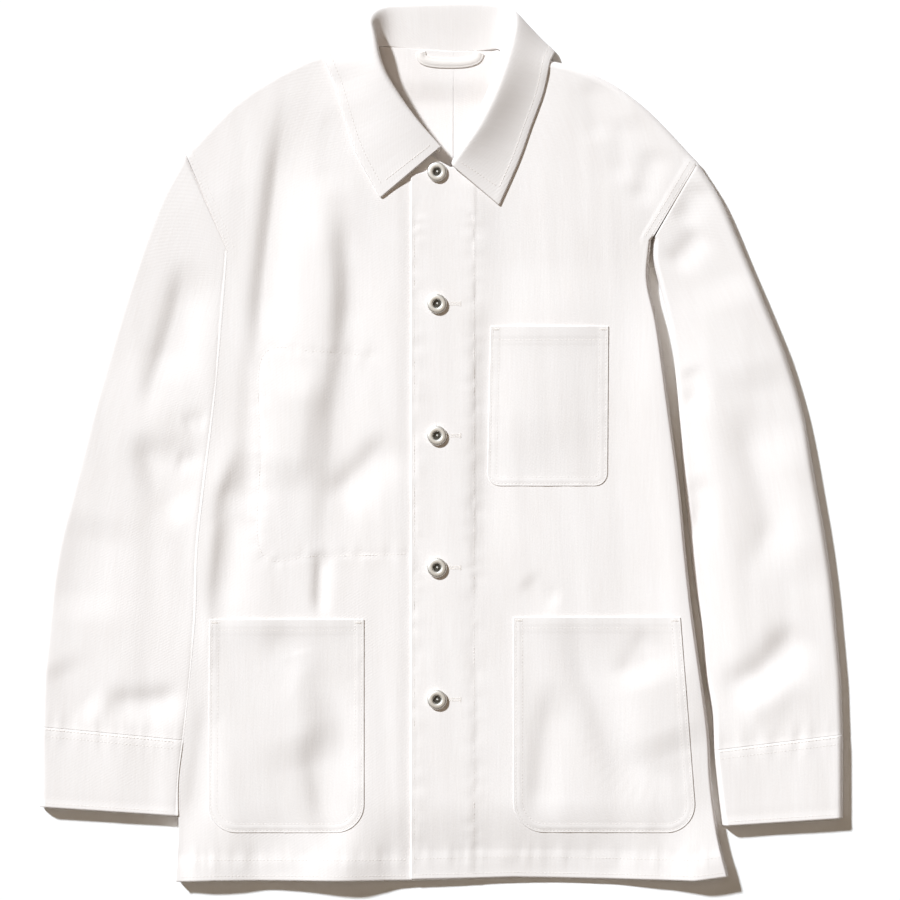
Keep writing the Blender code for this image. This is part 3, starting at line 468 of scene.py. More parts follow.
def bell(distance, width):
    """1 at no distance, about a third at one width, and next to nothing past two."""
    return np.exp(-((distance / width) ** 2))


def unit(vectors):
    """The vectors at a length of 1."""
    return vectors / np.maximum(np.linalg.norm(vectors, axis=-1, keepdims=True), 1e-12)


def xy(points):
    return points[..., 0], points[..., 1]


def raised(plan, height):
    """Points of a plan with their heights added."""
    return np.concatenate([plan, height[..., None]], axis=-1)


def run_lengths(points, axis):
    """Length run along a grid's rows (axis 1) or down its columns (axis 0), in millimetres."""
    steps = np.linalg.norm(np.diff(points, axis=axis), axis=2)
    start = np.zeros_like(np.take(steps, [0], axis=axis))
    return np.concatenate([start, np.cumsum(steps, axis=axis)], axis=axis)


def points_at(line, run, at):
    """Points of a line where the length run along it is at."""
    return np.column_stack([np.interp(at, run, line[:, k]) for k in range(line.shape[1])])


def plan_sides(path):
    """Unit vectors to the left of a path, in plan."""
    run = np.gradient(path, axis=0)
    return unit(np.column_stack([-run[:, 1], run[:, 0]]))


def edge_y(x, points):
    """Y at x of an edge that runs through the points."""
    points = np.array(sorted(points), dtype=float)
    return np.interp(x, points[:, 0], points[:, 1])


def spline(points, parts):
    """Splits each span of points into its number of parts, on a curve through the points."""
    points = np.asarray(points, dtype=float)
    before = np.concatenate([2 * points[:1] - points[1:2], points, 2 * points[-1:] - points[-2:-1]])
    rows = [points[0]]
    for span, count in enumerate(parts):
        a, b, c, d = before[span : span + 4]
        for step in range(1, count + 1):
            t = step / count
            square = (2 * a - 5 * b + 4 * c - d) * t**2
            cube = (3 * b - a - 3 * c + d) * t**3
            rows.append(0.5 * (2 * b + (c - a) * t + square + cube))
    return np.array(rows)


def polyline(points, parts=8):
    return spline(points, [parts] * (len(points) - 1))


def bezier(a, b, c, d, steps):
    t = np.linspace(0.0, 1.0, steps + 1)[:, None]
    return a * (1 - t) ** 3 + 3 * b * t * (1 - t) ** 2 + 3 * c * t**2 * (1 - t) + d * t**3


def nearest(x, y, line):
    """Distance to a line, the share of its length where that is, and the offset vector there."""
    line = np.asarray(line, dtype=float)[:, :2]
    spans = np.diff(line, axis=0)
    lengths = np.maximum(np.hypot(spans[:, 0], spans[:, 1]), 1e-6)
    run = np.concatenate([[0.0], np.cumsum(lengths)])
    best = np.full(x.shape, np.inf)
    along, off_x, off_y = np.zeros(x.shape), np.zeros(x.shape), np.zeros(x.shape)
    for start, span, length, before in zip(line, spans, lengths, run):
        dx, dy = x - start[0], y - start[1]
        t = np.clip((dx * span[0] + dy * span[1]) / length**2, 0.0, 1.0)
        dx, dy = dx - t * span[0], dy - t * span[1]
        square = dx * dx + dy * dy
        closer = square < best
        best = np.where(closer, square, best)
        along = np.where(closer, (before + t * length) / run[-1], along)
        off_x = np.where(closer, dx, off_x)
        off_y = np.where(closer, dy, off_y)
    return np.sqrt(best), along, off_x, off_y


def around(x, y, line, reach):
    """Which points lie in the box around a line, widened by reach."""
    low, high = line.min(axis=0) - reach, line.max(axis=0) + reach
    return (x > low[0]) & (x < high[0]) & (y > low[1]) & (y < high[1])


def fold_height(x, y, folds):
    """Height that the folds of a table add at each point."""
    total = np.zeros(x.shape)
    for _name, height, near, far, spine in folds:
        line = polyline(spine, 6)
        near, far = near * FOLD_WIDTH, far * FOLD_WIDTH
        inside = around(x, y, line, FOLD_REACH * max(near, far))
        distance, along, off_x, off_y = nearest(x[inside], y[inside], line)
        toward = (off_x - off_y) / (math.sqrt(2.0) * np.maximum(distance, 1e-6))
        width = near + (far - near) * smooth(0.5 + 0.5 * toward)
        taper = smooth(along / FOLD_END) * smooth((1.0 - along) / FOLD_END)
        total[inside] += FOLD_DEPTH * height * taper * bell(distance, width)
    return total


def blend_shares(t):
    """Shares of four neighbours in a cubic blend that shows no corners."""
    first, second = (1 - t) ** 3 / 6, (3 * t**3 - 6 * t**2 + 4) / 6
    return first, second, (-3 * t**3 + 3 * t**2 + 3 * t + 1) / 6, t**3 / 6


def unevenness(x, y, across, along, seed, turn=0.0):
    """Smooth chance heights from about -1 to 1, in lumps of the given width and length."""
    chance = np.random.default_rng(seed).uniform(-CHANCE_HEIGHT, CHANCE_HEIGHT, (CHANCE_GRID, CHANCE_GRID))
    u = (x * math.cos(turn) + y * math.sin(turn)) / across
    v = (y * math.cos(turn) - x * math.sin(turn)) / along
    i, j = np.floor(u).astype(int), np.floor(v).astype(int)
    total = np.zeros(np.shape(x))
    for column, share_x in enumerate(blend_shares(u - i)):
        for row, share_y in enumerate(blend_shares(v - j)):
            total += chance[(i + column) % CHANCE_GRID, (j + row) % CHANCE_GRID] * share_x * share_y
    return total


def drape(x, y, seed):
    """Small unevenness of washed cloth: long soft streaks down the grain, and slight dents."""
    lumps = [
        height * unevenness(x, y, across, along, seed + k, turn)
        for k, (height, across, along, turn) in enumerate(STREAKS + DENTS)
    ]
    return (lumps[0] + lumps[1]) + (lumps[2] + lumps[3])


def outline(side, first, last):
    """Outer edge of a front from one of its rows to another."""
    names = [row[0] for row in FRONT_SECTIONS[side]]
    rows = FRONT_SECTIONS[side][names.index(first) : names.index(last) + 1]
    return polyline([row[-1] for row in rows])


def body_edges(side, roll, height):
    """Side fold and shoulder fold of one half of the body: line, roll and height of each."""
    side_fold, shoulder_fold = outline(side, "hem", "underarm"), outline(side, "shoulder point", "neck")
    return ((side_fold, roll, height), (shoulder_fold, ROLL_RADIUS, ROLL_HEIGHT))


def sleeve_edges(side, roll, height):
    """Outer fold of a sleeve with its cuff, and the fold beside the body."""
    rows = np.array(SLEEVE_SECTIONS[side] + CUFF_SECTIONS[side][1:], dtype=float)
    return ((polyline(rows[:, 0]), ROLL_RADIUS, ROLL_HEIGHT), (polyline(rows[:, 1]), roll, height))


BODY_EDGES = {
    "left": body_edges("left", TIGHT_ROLL, ROLL_HEIGHT),
    "right": body_edges("right", PRESSED_ROLL, PRESSED_HEIGHT),
}
SLEEVE_EDGES = {
    "left": sleeve_edges("left", LIMP_ROLL, LIMP_HEIGHT),
    "right": sleeve_edges("right", PRESSED_ROLL, PRESSED_HEIGHT),
}
ARMHOLES = {side: outline(side, "underarm", "shoulder point") for side in SIDES}


def nearest_edge(x, y, edges):
    """A quarter of an ellipse from 0 on the nearest folded edge to 1 away from it, and its height."""
    shares = []
    for line, radius, _height in edges:
        inward = np.clip(nearest(x, y, line)[0] / radius, 0.0, 1.0)
        shares.append(np.sqrt(1.0 - (1.0 - inward) ** 2))
    return np.min(shares, axis=0), np.array([edge[2] for edge in edges])[np.argmin(shares, axis=0)]


def turned_over(x, y, level, edges, drop=0.0):
    """Brings a face down to the folded edges around it. A pressed edge only dips by drop."""
    share, height = nearest_edge(x, y, edges)
    height = np.where((height == PRESSED_HEIGHT) & (level > height), level - drop, height)
    return height + (level - height) * share


def hem_edge(x, side):
    """Y of the front's lower edge at x."""
    return edge_y(x, FRONT_SECTIONS[side][0][1:])


def puckers(x, y, length, seed):
    """Chance heights of the puckers that a row of stitches draws in the cloth."""
    return unevenness(x, y, PUCKER_PITCH * 0.5, length, seed)


def seam_relief(x, y, rows):
    """Dips along rows of stitches, and the puckers beside them."""
    total = np.zeros(x.shape)
    for path in rows:
        line = polyline(path, 6)
        inside = around(x, y, line, 2 * PUCKER_REACH)
        distance, along, off_x, off_y = nearest(x[inside], y[inside], line)
        run = along * np.linalg.norm(np.diff(line, axis=0), axis=1).sum()
        wave = puckers(run, np.sign(off_x + off_y) * PUCKER_LENGTH, PUCKER_LENGTH, len(path))
        dip = SEAM_DIP * bell(distance, SEAM_DIP_WIDTH)
        total[inside] += PUCKER * wave * bell(distance, PUCKER_REACH) - dip
    return total


def hem_relief(x, y, side):
    """The turned hem: a second layer, its edge, and the puckers of its stitching."""
    up = y - hem_edge(x, side) - HEM_TURN
    layer = TURNING * fade(up / LAYER_EDGE)
    dip = SEAM_DIP * bell(up + HEM_STITCH, SEAM_DIP_WIDTH)
    wave = puckers(x, y, HEM_PUCKER_LENGTH, SEEDS["hem"]) * bell(up, PUCKER_REACH)
    return layer - dip + HEM_PUCKER * PUCKER * wave


def cuff_relief(x, y, side):
    """The seam between sleeve and cuff: the cuff is two layers, and the sleeve puckers above it."""
    seam, *_middle, end = CUFF_SECTIONS[side]
    below, above_end = edge_y(x, seam) - y, y - edge_y(x, end)
    layer = TURNING * smooth((below + 1.0) / CUFF_EASE)
    wave = puckers(x, y, HEM_PUCKER_LENGTH, SEEDS["cuff"]) * bell(below, CUFF_PUCKER_REACH)
    dip = SEAM_DIP * bell(above_end - CUFF_STITCH, CUFF_DIP_WIDTH)
    return layer + CUFF_PUCKER * PUCKER * wave + (CUFF_RIM * bell(above_end, CUFF_RIM_WIDTH) - dip)


def body_level(x, y, side):
    """Height of the front's face before its folded edges are turned down."""
    side_fold, shoulder_fold = BODY_EDGES[side]
    inward = np.minimum(nearest(x, y, side_fold[0])[0], nearest(x, y, shoulder_fold[0])[0])
    crown = EDGE_TOP + (BODY_TOP - EDGE_TOP) * smooth(inward / CROWN_REACH)
    hem_line = polyline(HEM_WAVES, 6)
    near_hem = fade((y - HEM_Y) / HEM_REACH)
    level = crown + (np.interp(x, hem_line[:, 0], hem_line[:, 1]) - crown) * near_hem
    folds = fold_height(x, y, BODY_FOLDS) + fold_height(x, y, BODY_CREASES)
    return level + folds * (1.0 - HEM_FIRMNESS * near_hem) + drape(x, y, SEEDS["body"])


def sleeve_level(x, y, side):
    return SLEEVE_TOP + fold_height(x, y, SLEEVE_FOLDS[side]) + drape(x, y, SEEDS["sleeve"])


def beside_neighbour(x, y, side, mine, other):
    """Eases a face towards its neighbour's height where body and sleeve are sewn or pressed together."""
    from_armhole = nearest(x, y, ARMHOLES[side])[0]
    share = bell(from_armhole, ARMHOLE_BLEND)
    if side == "right":
        share = np.maximum(share, bell(nearest(x, y, BODY_EDGES[side][0][0])[0], PRESSED_BLEND))
    near = share > NEGLIGIBLE
    level = mine.copy()
    level[near] += 0.5 * share[near] * (other(x[near], y[near], side) - mine[near])
    return level, from_armhole


def body_top(x, y, side):
    """Height of the front's outer face, before the fronts are lapped."""
    level, from_armhole = beside_neighbour(x, y, side, body_level(x, y, side), sleeve_level)
    felled = FELLED_RISE[side] * fade((from_armhole - FELLED) / FELLED_EASE)
    level = level + felled + hem_relief(x, y, side)
    return turned_over(x, y, level + seam_relief(x, y, SEAM_ROWS[side]), BODY_EDGES[side])


def front_left_top(x, y):
    lap = fade((x - FREE_EDGE_X - LAP_WIDTH) / LAP_RUNOUT)
    return body_top(x, y, "left") + LAP_LIFT * lap + FACING_RISE * fade((x - FACING_STITCH_X) / LAYER_EDGE)


def front_right_top(x, y):
    return body_top(x, y, "right") - (LAP_LIFT + LAP_SLACK) * smooth((x - FREE_EDGE_X + LAP_EASE) / LAP_EASE)


FRONT_TOPS = {"left": front_left_top, "right": front_right_top}


def back_bottom(x, y, side):
    """Height of the back's outer face: on the floor, but lifted over the turned-down collar."""
    above = smooth((y - NECK_LIFT_FROM) / NECK_LIFT_EASE)
    lift = NECK_LIFT * above * fade((abs(x - BACK_SEAM_X) - NECK_LIFT_HALF) / NECK_LIFT_EASE)
    return turned_over(x, y, lift, BODY_EDGES[side])


def sleeve_top(x, y, side):
    level = beside_neighbour(x, y, side, sleeve_level(x, y, side), body_level)[0]
    return turned_over(x, y, level + cuff_relief(x, y, side), SLEEVE_EDGES[side], PRESSED_DROP)


def sleeve_bottom(x, y, side):
    return turned_over(x, y, np.zeros(x.shape), SLEEVE_EDGES[side])


def roll_shares(radius):
    """Distances in from a folded edge, closest at the edge where the cloth turns down."""
    return np.array([radius * (1.0 - math.cos(math.pi / 2 * k / ROLL_STEPS)) for k in range(ROLL_STEPS + 1)])


def split_rows(points, cell):
    """Rows of points with more rows between them, at most a cell apart."""
    spans = np.linalg.norm(np.diff(points, axis=0), axis=2).max(axis=1)
    parts = [max(1, math.ceil(span / cell)) for span in spans]
    return spline(points.reshape(len(points), -1), parts).reshape(-1, *points.shape[1:])


def panel_rows(sections, cell):
    """Rows through the sections, whose curves stop where the outline turns a corner."""
    names = [row[0] for row in sections]
    points = np.array([row[1:] for row in sections], dtype=float)
    stops = [0] + [names.index(name) for name in BENDS] + [len(names) - 1]
    stretches = [split_rows(points[first : last + 1], cell)[1:] for first, last in zip(stops, stops[1:])]
    return np.concatenate([points[:1], *stretches])


def panel_plan(sections, cell, roll_radius):
    """Plan points of a panel: rows by columns by (x, y)."""
    rows = panel_rows(sections, cell * ROW_STRETCH)
    widths = np.linalg.norm(np.diff(rows, axis=1), axis=2).max(axis=0)
    counts = [max(2, math.ceil(width / cell)) for width in widths]
    columns = [rows[:, :1]]
    for line, count in enumerate(counts[:-1]):
        share = np.linspace(0.0, 1.0, count + 1)[1:]
        width = (rows[:, line + 1] - rows[:, line])[:, None]
        columns.append(rows[:, line : line + 1] + share[None, :, None] * width)
    last = rows[:, -1] - rows[:, -2]
    rolled = roll_shares(roll_radius)[::-1][None, :] / np.linalg.norm(last, axis=1)[:, None]
    flat = np.linspace(0.0, 1.0, counts[-1] + 1)[1:-1][None, :] * (1.0 - rolled[:, :1])
    share = np.concatenate([flat, 1.0 - rolled], axis=1)
    columns.append(rows[:, -2][:, None] + share[:, :, None] * last[:, None])
    return np.concatenate(columns, axis=1)


def tube_plan(sections, side):
    """Plan rows of a flattened tube from its outer edge to its edge beside the body."""
    rows = split_rows(np.array(sections, dtype=float), SLEEVE_CELL * ROW_STRETCH)
    if side == "right":
        body_side = BODY_EDGES[side][0][0]
        rows[:, 1, 0] = np.interp(rows[:, 1, 1], body_side[:, 1], body_side[:, 0]) - PRESSED_GAP
    across = rows[:, 1] - rows[:, 0]
    length = np.linalg.norm(across, axis=1)[:, None]
    outer_roll, inner_roll = (roll_shares(edge[1])[None, :] for edge in SLEEVE_EDGES[side])
    near, far = outer_roll / length, 1.0 - inner_roll[:, ::-1] / length
    share = np.linspace(0.0, 1.0, math.ceil(length.max() / SLEEVE_CELL) + 1)[1:-1][None, :]
    shares = np.concatenate([near, near[:, -1:] + share * (far[:, :1] - near[:, -1:]), far], axis=1)
    return rows[:, :1] + shares[:, :, None] * across[:, None]


def grid_normals(points):
    """Unit normals of a grid of points, to the side that its rows and columns turn to."""
    return unit(np.cross(np.gradient(points, axis=1), np.gradient(points, axis=0)))


def facing(normals, upward):
    """Turns all normals over, if need be, so that most of them look up, or down."""
    return normals if (normals[..., 2].sum() > 0) == upward else -normals


def level_rim(normals, folded, column=-1):
    """Makes the normals level along a column where it is a folded edge's outermost line."""
    normals = normals.copy()
    normals[folded, column, 2] = 0.0
    normals[:, column] = unit(normals[:, column])
    return normals


def put(name, data):
    """Puts a new object with this data into the scene."""
    made = bpy.data.objects.new(name, data)
    bpy.context.collection.objects.link(made)
    return made


def new_piece(name, vertices, faces, material, nodes=(), grain=None):
    """A shown piece. grain holds each vertex's place on the uncut cloth, across and along its warp."""
    mesh = bpy.data.meshes.new(name)
    mesh.from_pydata([tuple(point) for point in np.asarray(vertices) * MM], [], faces)
    if grain is not None:
        layer = mesh.uv_layers.new(name="grain")
        corners = np.empty(len(mesh.loops), dtype=np.int32)
        mesh.loops.foreach_get("vertex_index", corners)
        layer.data.foreach_set("uv", (grain[corners] * MM).astype(np.float32).ravel())
    shape = bmesh.new()
    shape.from_mesh(mesh)
    bmesh.ops.recalc_face_normals(shape, faces=shape.faces)
    shape.to_mesh(mesh)
    shape.free()
    mesh.shade_smooth()
    mesh.materials.append(material)
    piece = put(name, mesh)
    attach(piece, "root")
    if nodes:
        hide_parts(*nodes)
    return piece


def held(grid, ring):
    """The grid with one more row and column close to each open edge, so that the edge stays crisp."""
    for axis in (0,) if ring else (0, 1):
        count = grid.shape[axis]
        at = np.concatenate([[0.0, HOLD], np.arange(1, count - 1), [count - 1 - HOLD, count - 1]])
        low = np.minimum(at.astype(int), count - 2)
        share = (at - low).reshape((-1, 1, 1) if axis == 0 else (1, -1, 1))
        grid = np.take(grid, low, axis) * (1 - share) + np.take(grid, low + 1, axis) * share
    return grid


def shell(outer, inner, bulges, ring=False):
    """Vertices, faces and grain of a closed wall between two grids, with rounded rims.

    bulges are for the first row, the last row, the first column and the last column.
    """
    outer, inner = held(outer, ring), held(inner, ring)
    rows, columns = outer.shape[:2]
    grain = np.dstack([run_lengths(outer, 1), run_lengths(outer, 0)])
    grain[..., 1] = grain[:, columns // 2, 1][:, None]
    vertices = [outer.reshape(-1, 3), inner.reshape(-1, 3)]
    grains = [grain.reshape(-1, 2), grain.reshape(-1, 2)]
    under = rows * columns
    index = np.arange(under).reshape(rows, columns)
    wrapped = np.concatenate([index, index[:, :1]], axis=1) if ring else index
    corners = [wrapped[:-1, :-1], wrapped[:-1, 1:], wrapped[1:, 1:], wrapped[1:, :-1]]
    cells = np.stack(corners, axis=-1).reshape(-1, 4)
    faces = [cells, cells[:, ::-1] + under]
    count = 2 * under

    def add_rim(at, inside, bulge):
        """Points between the two walls' edges, pushed outward so that the rim is round."""
        outward = unit(outer[at] - outer[inside])
        vertices.append((outer[at] + inner[at]) / 2 + outward * bulge)
        grains.append(grain[at])

    for row, inside, bulge in ((0, 1, bulges[0]), (rows - 1, rows - 2, bulges[1])):
        add_rim(row, inside, bulge)
        line = np.arange(count, count + columns)
        count += columns
        line = np.concatenate([line, line[:1]]) if ring else line
        for first, second in ((wrapped[row], line), (line, wrapped[row] + under)):
            faces.append(np.stack([first[1:], first[:-1], second[:-1], second[1:]], axis=-1))
    sides = () if ring else ((0, 1, bulges[2]), (columns - 1, columns - 2, bulges[3]))
    for column, inside, bulge in sides:
        between = slice(1, -1)
        add_rim((between, column), (between, inside), bulge)
        first_rim = 2 * under + (0 if column == 0 else columns - 1)
        line = np.concatenate([[first_rim], np.arange(count, count + rows - 2), [first_rim + columns]])
        count += rows - 2
        for first, second in ((index[:, column], line), (line, index[:, column] + under)):
            faces.append(np.stack([first[:-1], first[1:], second[1:], second[:-1]], axis=-1))
    return np.concatenate(vertices), np.concatenate(faces).tolist(), np.concatenate(grains)


def linear(code):
    """Linear colour of an sRGB hex code."""
    parts = [int(code[k : k + 2], 16) / 255 for k in (1, 3, 5)]
    return tuple(p / 12.92 if p <= 0.04045 else ((p + 0.055) / 1.055) ** 2.4 for p in parts) + (1.0,)


def set_inputs(tree, node, inputs):
    """Sets a node's sockets, each to a value or to the output that feeds it."""
    for socket, value in inputs.items():
        if isinstance(value, bpy.types.NodeSocket):
            tree.links.new(value, node.inputs[socket])
        else:
            node.inputs[socket].default_value = value


def add_node(tree, kind, inputs, output=0, **settings):
    """Adds a node and gives its output."""
    made = tree.nodes.new("ShaderNode" + kind)
    for name, value in settings.items():
        setattr(made, name, value)
    set_inputs(tree, made, inputs)
    return made.outputs[output]


def blend(tree, share, first, second):
    """A colour between two sRGB codes."""
    return add_node(tree, "Mix", {0: share, 6: linear(first), 7: linear(second)}, 2, data_type="RGBA")


def new_material(name):
    material = bpy.data.materials.new(name)
    material.use_nodes = True
    return material, material.node_tree, material.node_tree.nodes["Principled BSDF"]


WALE = 2.3  # the real twill line is about 0.9 mm wide; drawn coarser so that it shows at all
TWILL_TURN = -58.0
WAVE_SCALE = 314.16  # a wave texture's scale for bands 1 mm apart
SLUB = (2.2, 34.0)  # width and length of a thick place in the warp
NAP = 1.6
WASH = (60.0, 90.0)
PLY = 0.6  # width of a thread's twisted plies


def denim(name, light, deep):
    """Washed white denim: a matt 3/1 cotton twill with slubs down the warp and a soft nap."""
    material, tree, shader = new_material(name)
    grain = add_node(tree, "UVMap", {}, uv_map="grain")

    def cloud(across, along, **more):
        size = (1000.0 / across, 1000.0 / along, 1.0)
        place = add_node(tree, "VectorMath", {0: grain, 1: size}, operation="MULTIPLY")
        return add_node(tree, "TexNoise", {"Vector": place, "Scale": 1.0, "Detail": 2.0, **more})

    turn = {"Vector": grain, "Angle": math.radians(TWILL_TURN)}
    steep = add_node(tree, "VectorRotate", turn, rotation_type="Z_AXIS")
    twill = {"Vector": steep, "Scale": WAVE_SCALE / WALE, "Distortion": 1.4, "Detail": 1.0}
    twill["Detail Scale"] = 2.0
    wales = add_node(tree, "TexWave", twill, 1, wave_type="BANDS", bands_direction="X")
    slub = cloud(*SLUB, Detail=3.0, Roughness=0.6)
    nap = cloud(NAP, NAP)
    wash = cloud(*WASH)
    tint = add_node(tree, "Math", {0: slub, 1: wash}, operation="ADD")
    share = add_node(tree, "MapRange", {"Value": tint, "From Min": 0.7, "From Max": 1.35})
    rough = add_node(tree, "MapRange", {"Value": nap, "To Min": 0.86, "To Max": 0.97})
    relief = add_node(tree, "Math", {0: wales, 1: 0.35, 2: nap}, operation="MULTIPLY_ADD")
    weave = add_node(tree, "Bump", {"Height": relief, "Distance": 0.00012, "Strength": 0.8})
    streaks = {"Height": slub, "Distance": 0.00016, "Strength": 0.6, "Normal": weave}
    looks = {
        "Base Color": blend(tree, share, light, deep),
        "Roughness": rough,
        "Normal": add_node(tree, "Bump", streaks),
        "IOR": 1.45,
        "Specular IOR Level": 0.25,
        "Sheen Weight": 0.12,
        "Sheen Roughness": 0.6,
    }
    set_inputs(tree, shader, looks)
    return material


def thread_material():
    """Spun polyester sewing thread in cream: a little darker and smoother than the cloth."""
    material, tree, shader = new_material("cream_thread")
    place = add_node(tree, "TexCoord", {}, "Object")
    plies = {"Vector": place, "Scale": WAVE_SCALE / PLY, "Distortion": 1.0}
    ply = add_node(tree, "TexWave", plies, 1, wave_type="BANDS", bands_direction="DIAGONAL")
    looks = {
        "Base Color": blend(tree, ply, "#F0E9E2", "#F5EFE9"),
        "Normal": add_node(tree, "Bump", {"Height": ply, "Distance": 0.00008, "Strength": 0.7}),
        "Roughness": 0.7,
        "IOR": 1.5,
        "Sheen Weight": 0.1,
    }
    set_inputs(tree, shader, looks)
    return material


def nickel_material(name, bright, dull, low, high):
    """Tumbled nickel plate on a stamped cap: soft highlights, fine scuffs."""
    material, tree, shader = new_material(name)
    place = add_node(tree, "TexCoord", {}, "Object")
    scuffs = add_node(tree, "TexNoise", {"Vector": place, "Scale": 900.0, "Detail": 4.0, "Roughness": 0.6})
    looks = {
        "Base Color": blend(tree, scuffs, bright, dull),
        "Roughness": add_node(tree, "MapRange", {"Value": scuffs, "To Min": low, "To Max": high}),
        "Normal": add_node(tree, "Bump", {"Height": scuffs, "Distance": 0.00003, "Strength": 0.5}),
        "Metallic": 1.0,
    }
    set_inputs(tree, shader, looks)
    return material


WHITE_DENIM = denim("white_denim", "#F4EFEC", "#F0EAE6")
POCKET_DENIM = denim("pocket_denim", "#F2EDEA", "#EEE8E4")
LOOP_TAPE = denim("loop_tape", "#F1EBE6", "#EDE7E1")
THREAD_CREAM = thread_material()
NICKEL = nickel_material("nickel", "#F3F1EC", "#E2DFD8", 0.42, 0.6)
DARK_NICKEL = nickel_material("dark_nickel", "#6A6862", "#4C4A46", 0.4, 0.6)


def sewn_piece(name, node, outer, inner, bulges, material=WHITE_DENIM, ring=False, crosswise=False):
    """Cloth between an outer and an inner face. Crosswise, its warp runs along the grid's rows."""
    vertices, faces, grain = shell(outer, inner, bulges, ring)
    return new_piece(name, vertices, faces, material, [node], grain[:, ::-1] if crosswise else grain)


def panel_face(plan, height, side, upward):
    """Outer face of a panel, brought to the heights of its folded edges, and its normals."""
    share, rim = nearest_edge(*xy(plan[:, -1]), BODY_EDGES[side])
    folded = share < FREE_FOLD
    height[folded, -1] = rim[folded]
    outer = raised(plan, height)
    return outer, level_rim(facing(grid_normals(outer), upward), folded)


def front_panel(side):
    plan = panel_plan(FRONT_SECTIONS[side], FRONT_CELL, BODY_EDGES[side][0][1])
    outer, normals = panel_face(plan, FRONT_TOPS[side](*xy(plan)), side, upward=True)
    inner = outer - normals * CLOTH
    return sewn_piece(f"{side}_front_cloth", f"front_{side}", outer, inner, (0.7, 0.7, 0.7, 0.0))


def back_panel(side):
    rows = []
    for (name, *_lines, outer_point), seam_y in zip(FRONT_SECTIONS[side], BACK_SEAM_Y):
        outer_point = np.array(outer_point, dtype=float)
        seam_point = np.array([BACK_SEAM_X, seam_y])
        rows.append((name, seam_point, seam_point + BACK_MIDDLE * (outer_point - seam_point), outer_point))
    plan = panel_plan(rows, BACK_CELL, BODY_EDGES[side][0][1])
    outer, normals = panel_face(plan, back_bottom(*xy(plan), side), side, upward=False)
    inner = outer - normals * CLOTH
    return sewn_piece(f"{side}_back_cloth", f"back_{side}", outer, inner, (0.7, 0.3, 0.0, 0.0))


def sleeve(side):
    """A two-piece sleeve, upper and under, whose armhole end is tucked under the body's seam."""
    plan = tube_plan(SLEEVE_SECTIONS[side], side)
    plan = np.concatenate([plan[:1] + unit(plan[0] - plan[1]) * ARMHOLE_TUCK, plan])
    folded = np.ones(len(plan), dtype=bool)
    pieces = []
    for part, face, drop in (("upper", sleeve_top, -ARMHOLE_DROP), ("under", sleeve_bottom, ARMHOLE_DROP)):
        height = face(*xy(plan), side)
        height[0] = height[1] + drop
        height[:, 0], height[:, -1] = (edge[2] for edge in SLEEVE_EDGES[side])
        outer = raised(plan, height)
        normals = facing(grid_normals(outer), part == "upper")
        inner = outer - level_rim(level_rim(normals, folded), folded, column=0) * CLOTH
        name, node = f"{side}_{part}_sleeve_cloth", f"sleeve_{side}_{part}"
        pieces.append(sewn_piece(name, node, outer, inner, (0.0, 0.0, 0.0, 0.0)))
    return pieces


def cuff(side):
    """A flattened band round the sleeve's end."""
    plan = tube_plan(CUFF_SECTIONS[side], side)
    over = raised(plan, sleeve_top(*xy(plan), side))
    under = raised(plan, sleeve_bottom(*xy(plan), side))[:, 1:-1][:, ::-1]
    outer = np.concatenate([over, under], axis=1)
    normals = grid_normals(np.concatenate([outer[:, -1:], outer, outer[:, :1]], axis=1))[:, 1:-1]
    if normals[:, outer.shape[1] // 4, 2].mean() < 0:
        normals = -normals
    inner = outer - normals * CLOTH
    return sewn_piece(f"{side}_cuff_cloth", f"cuff_{side}", outer, inner, (0.0, 0.7, 0.0, 0.0), ring=True)


def pocket_outline(corners, radius, inset=0.0):
    """Left side, bottom and right side of a pocket, from mouth to mouth, or a line that far inside."""
    low_left, low_right, top_right, top_left = np.array(corners, dtype=float)
    low_left, low_right = low_left + (inset, inset), low_right + (-inset, inset)
    top_left, top_right = top_left + (inset, 0.0), top_right - (inset, 0.0)
    turn = max(radius - inset, 2.0)
    path = [top_left[None]]
    for before, corner, after in ((top_left, low_left, low_right), (low_left, low_right, top_right)):
        start, end = corner + unit(before - corner) * turn, corner + unit(after - corner) * turn
        a, b = start + (corner - start) * ROUND_CORNER, end + (corner - end) * ROUND_CORNER
        path.append(bezier(start, a, b, end, 12))
    return np.concatenate([*path, top_right[None]])


def pocket_plan(corners, radius):
    """Grid of a pocket from its bottom to its mouth, whose lower corners are rounded."""
    low_left, low_right, top_right, top_left = np.array(corners, dtype=float)
    height = np.linalg.norm(top_left - low_left)
    width = np.linalg.norm(low_right - low_left)
    turn = np.linspace(0.0, math.pi / 2, math.ceil(radius * 1.5 / POCKET_CELL) + 1)
    straight_rises = np.arange(radius + POCKET_CELL, height, POCKET_CELL)
    rises = np.concatenate([radius * (1 - np.cos(turn)), straight_rises, [height]])
    round_in = radius - np.sqrt(np.maximum(radius**2 - (radius - rises) ** 2, 0.0))
    drawn_in = np.where(rises < radius, round_in, 0.0)[:, None]
    share = rises[:, None] / height
    left = low_left + share * (top_left - low_left)
    right = low_right + share * (top_right - low_right)
    across = unit(right - left)
    left, right = left + across * drawn_in, right - across * drawn_in
    columns = np.linspace(0.0, 1.0, math.ceil(width / POCKET_CELL) + 1)
    return left[:, None] + columns[None, :, None] * (right - left)[:, None]


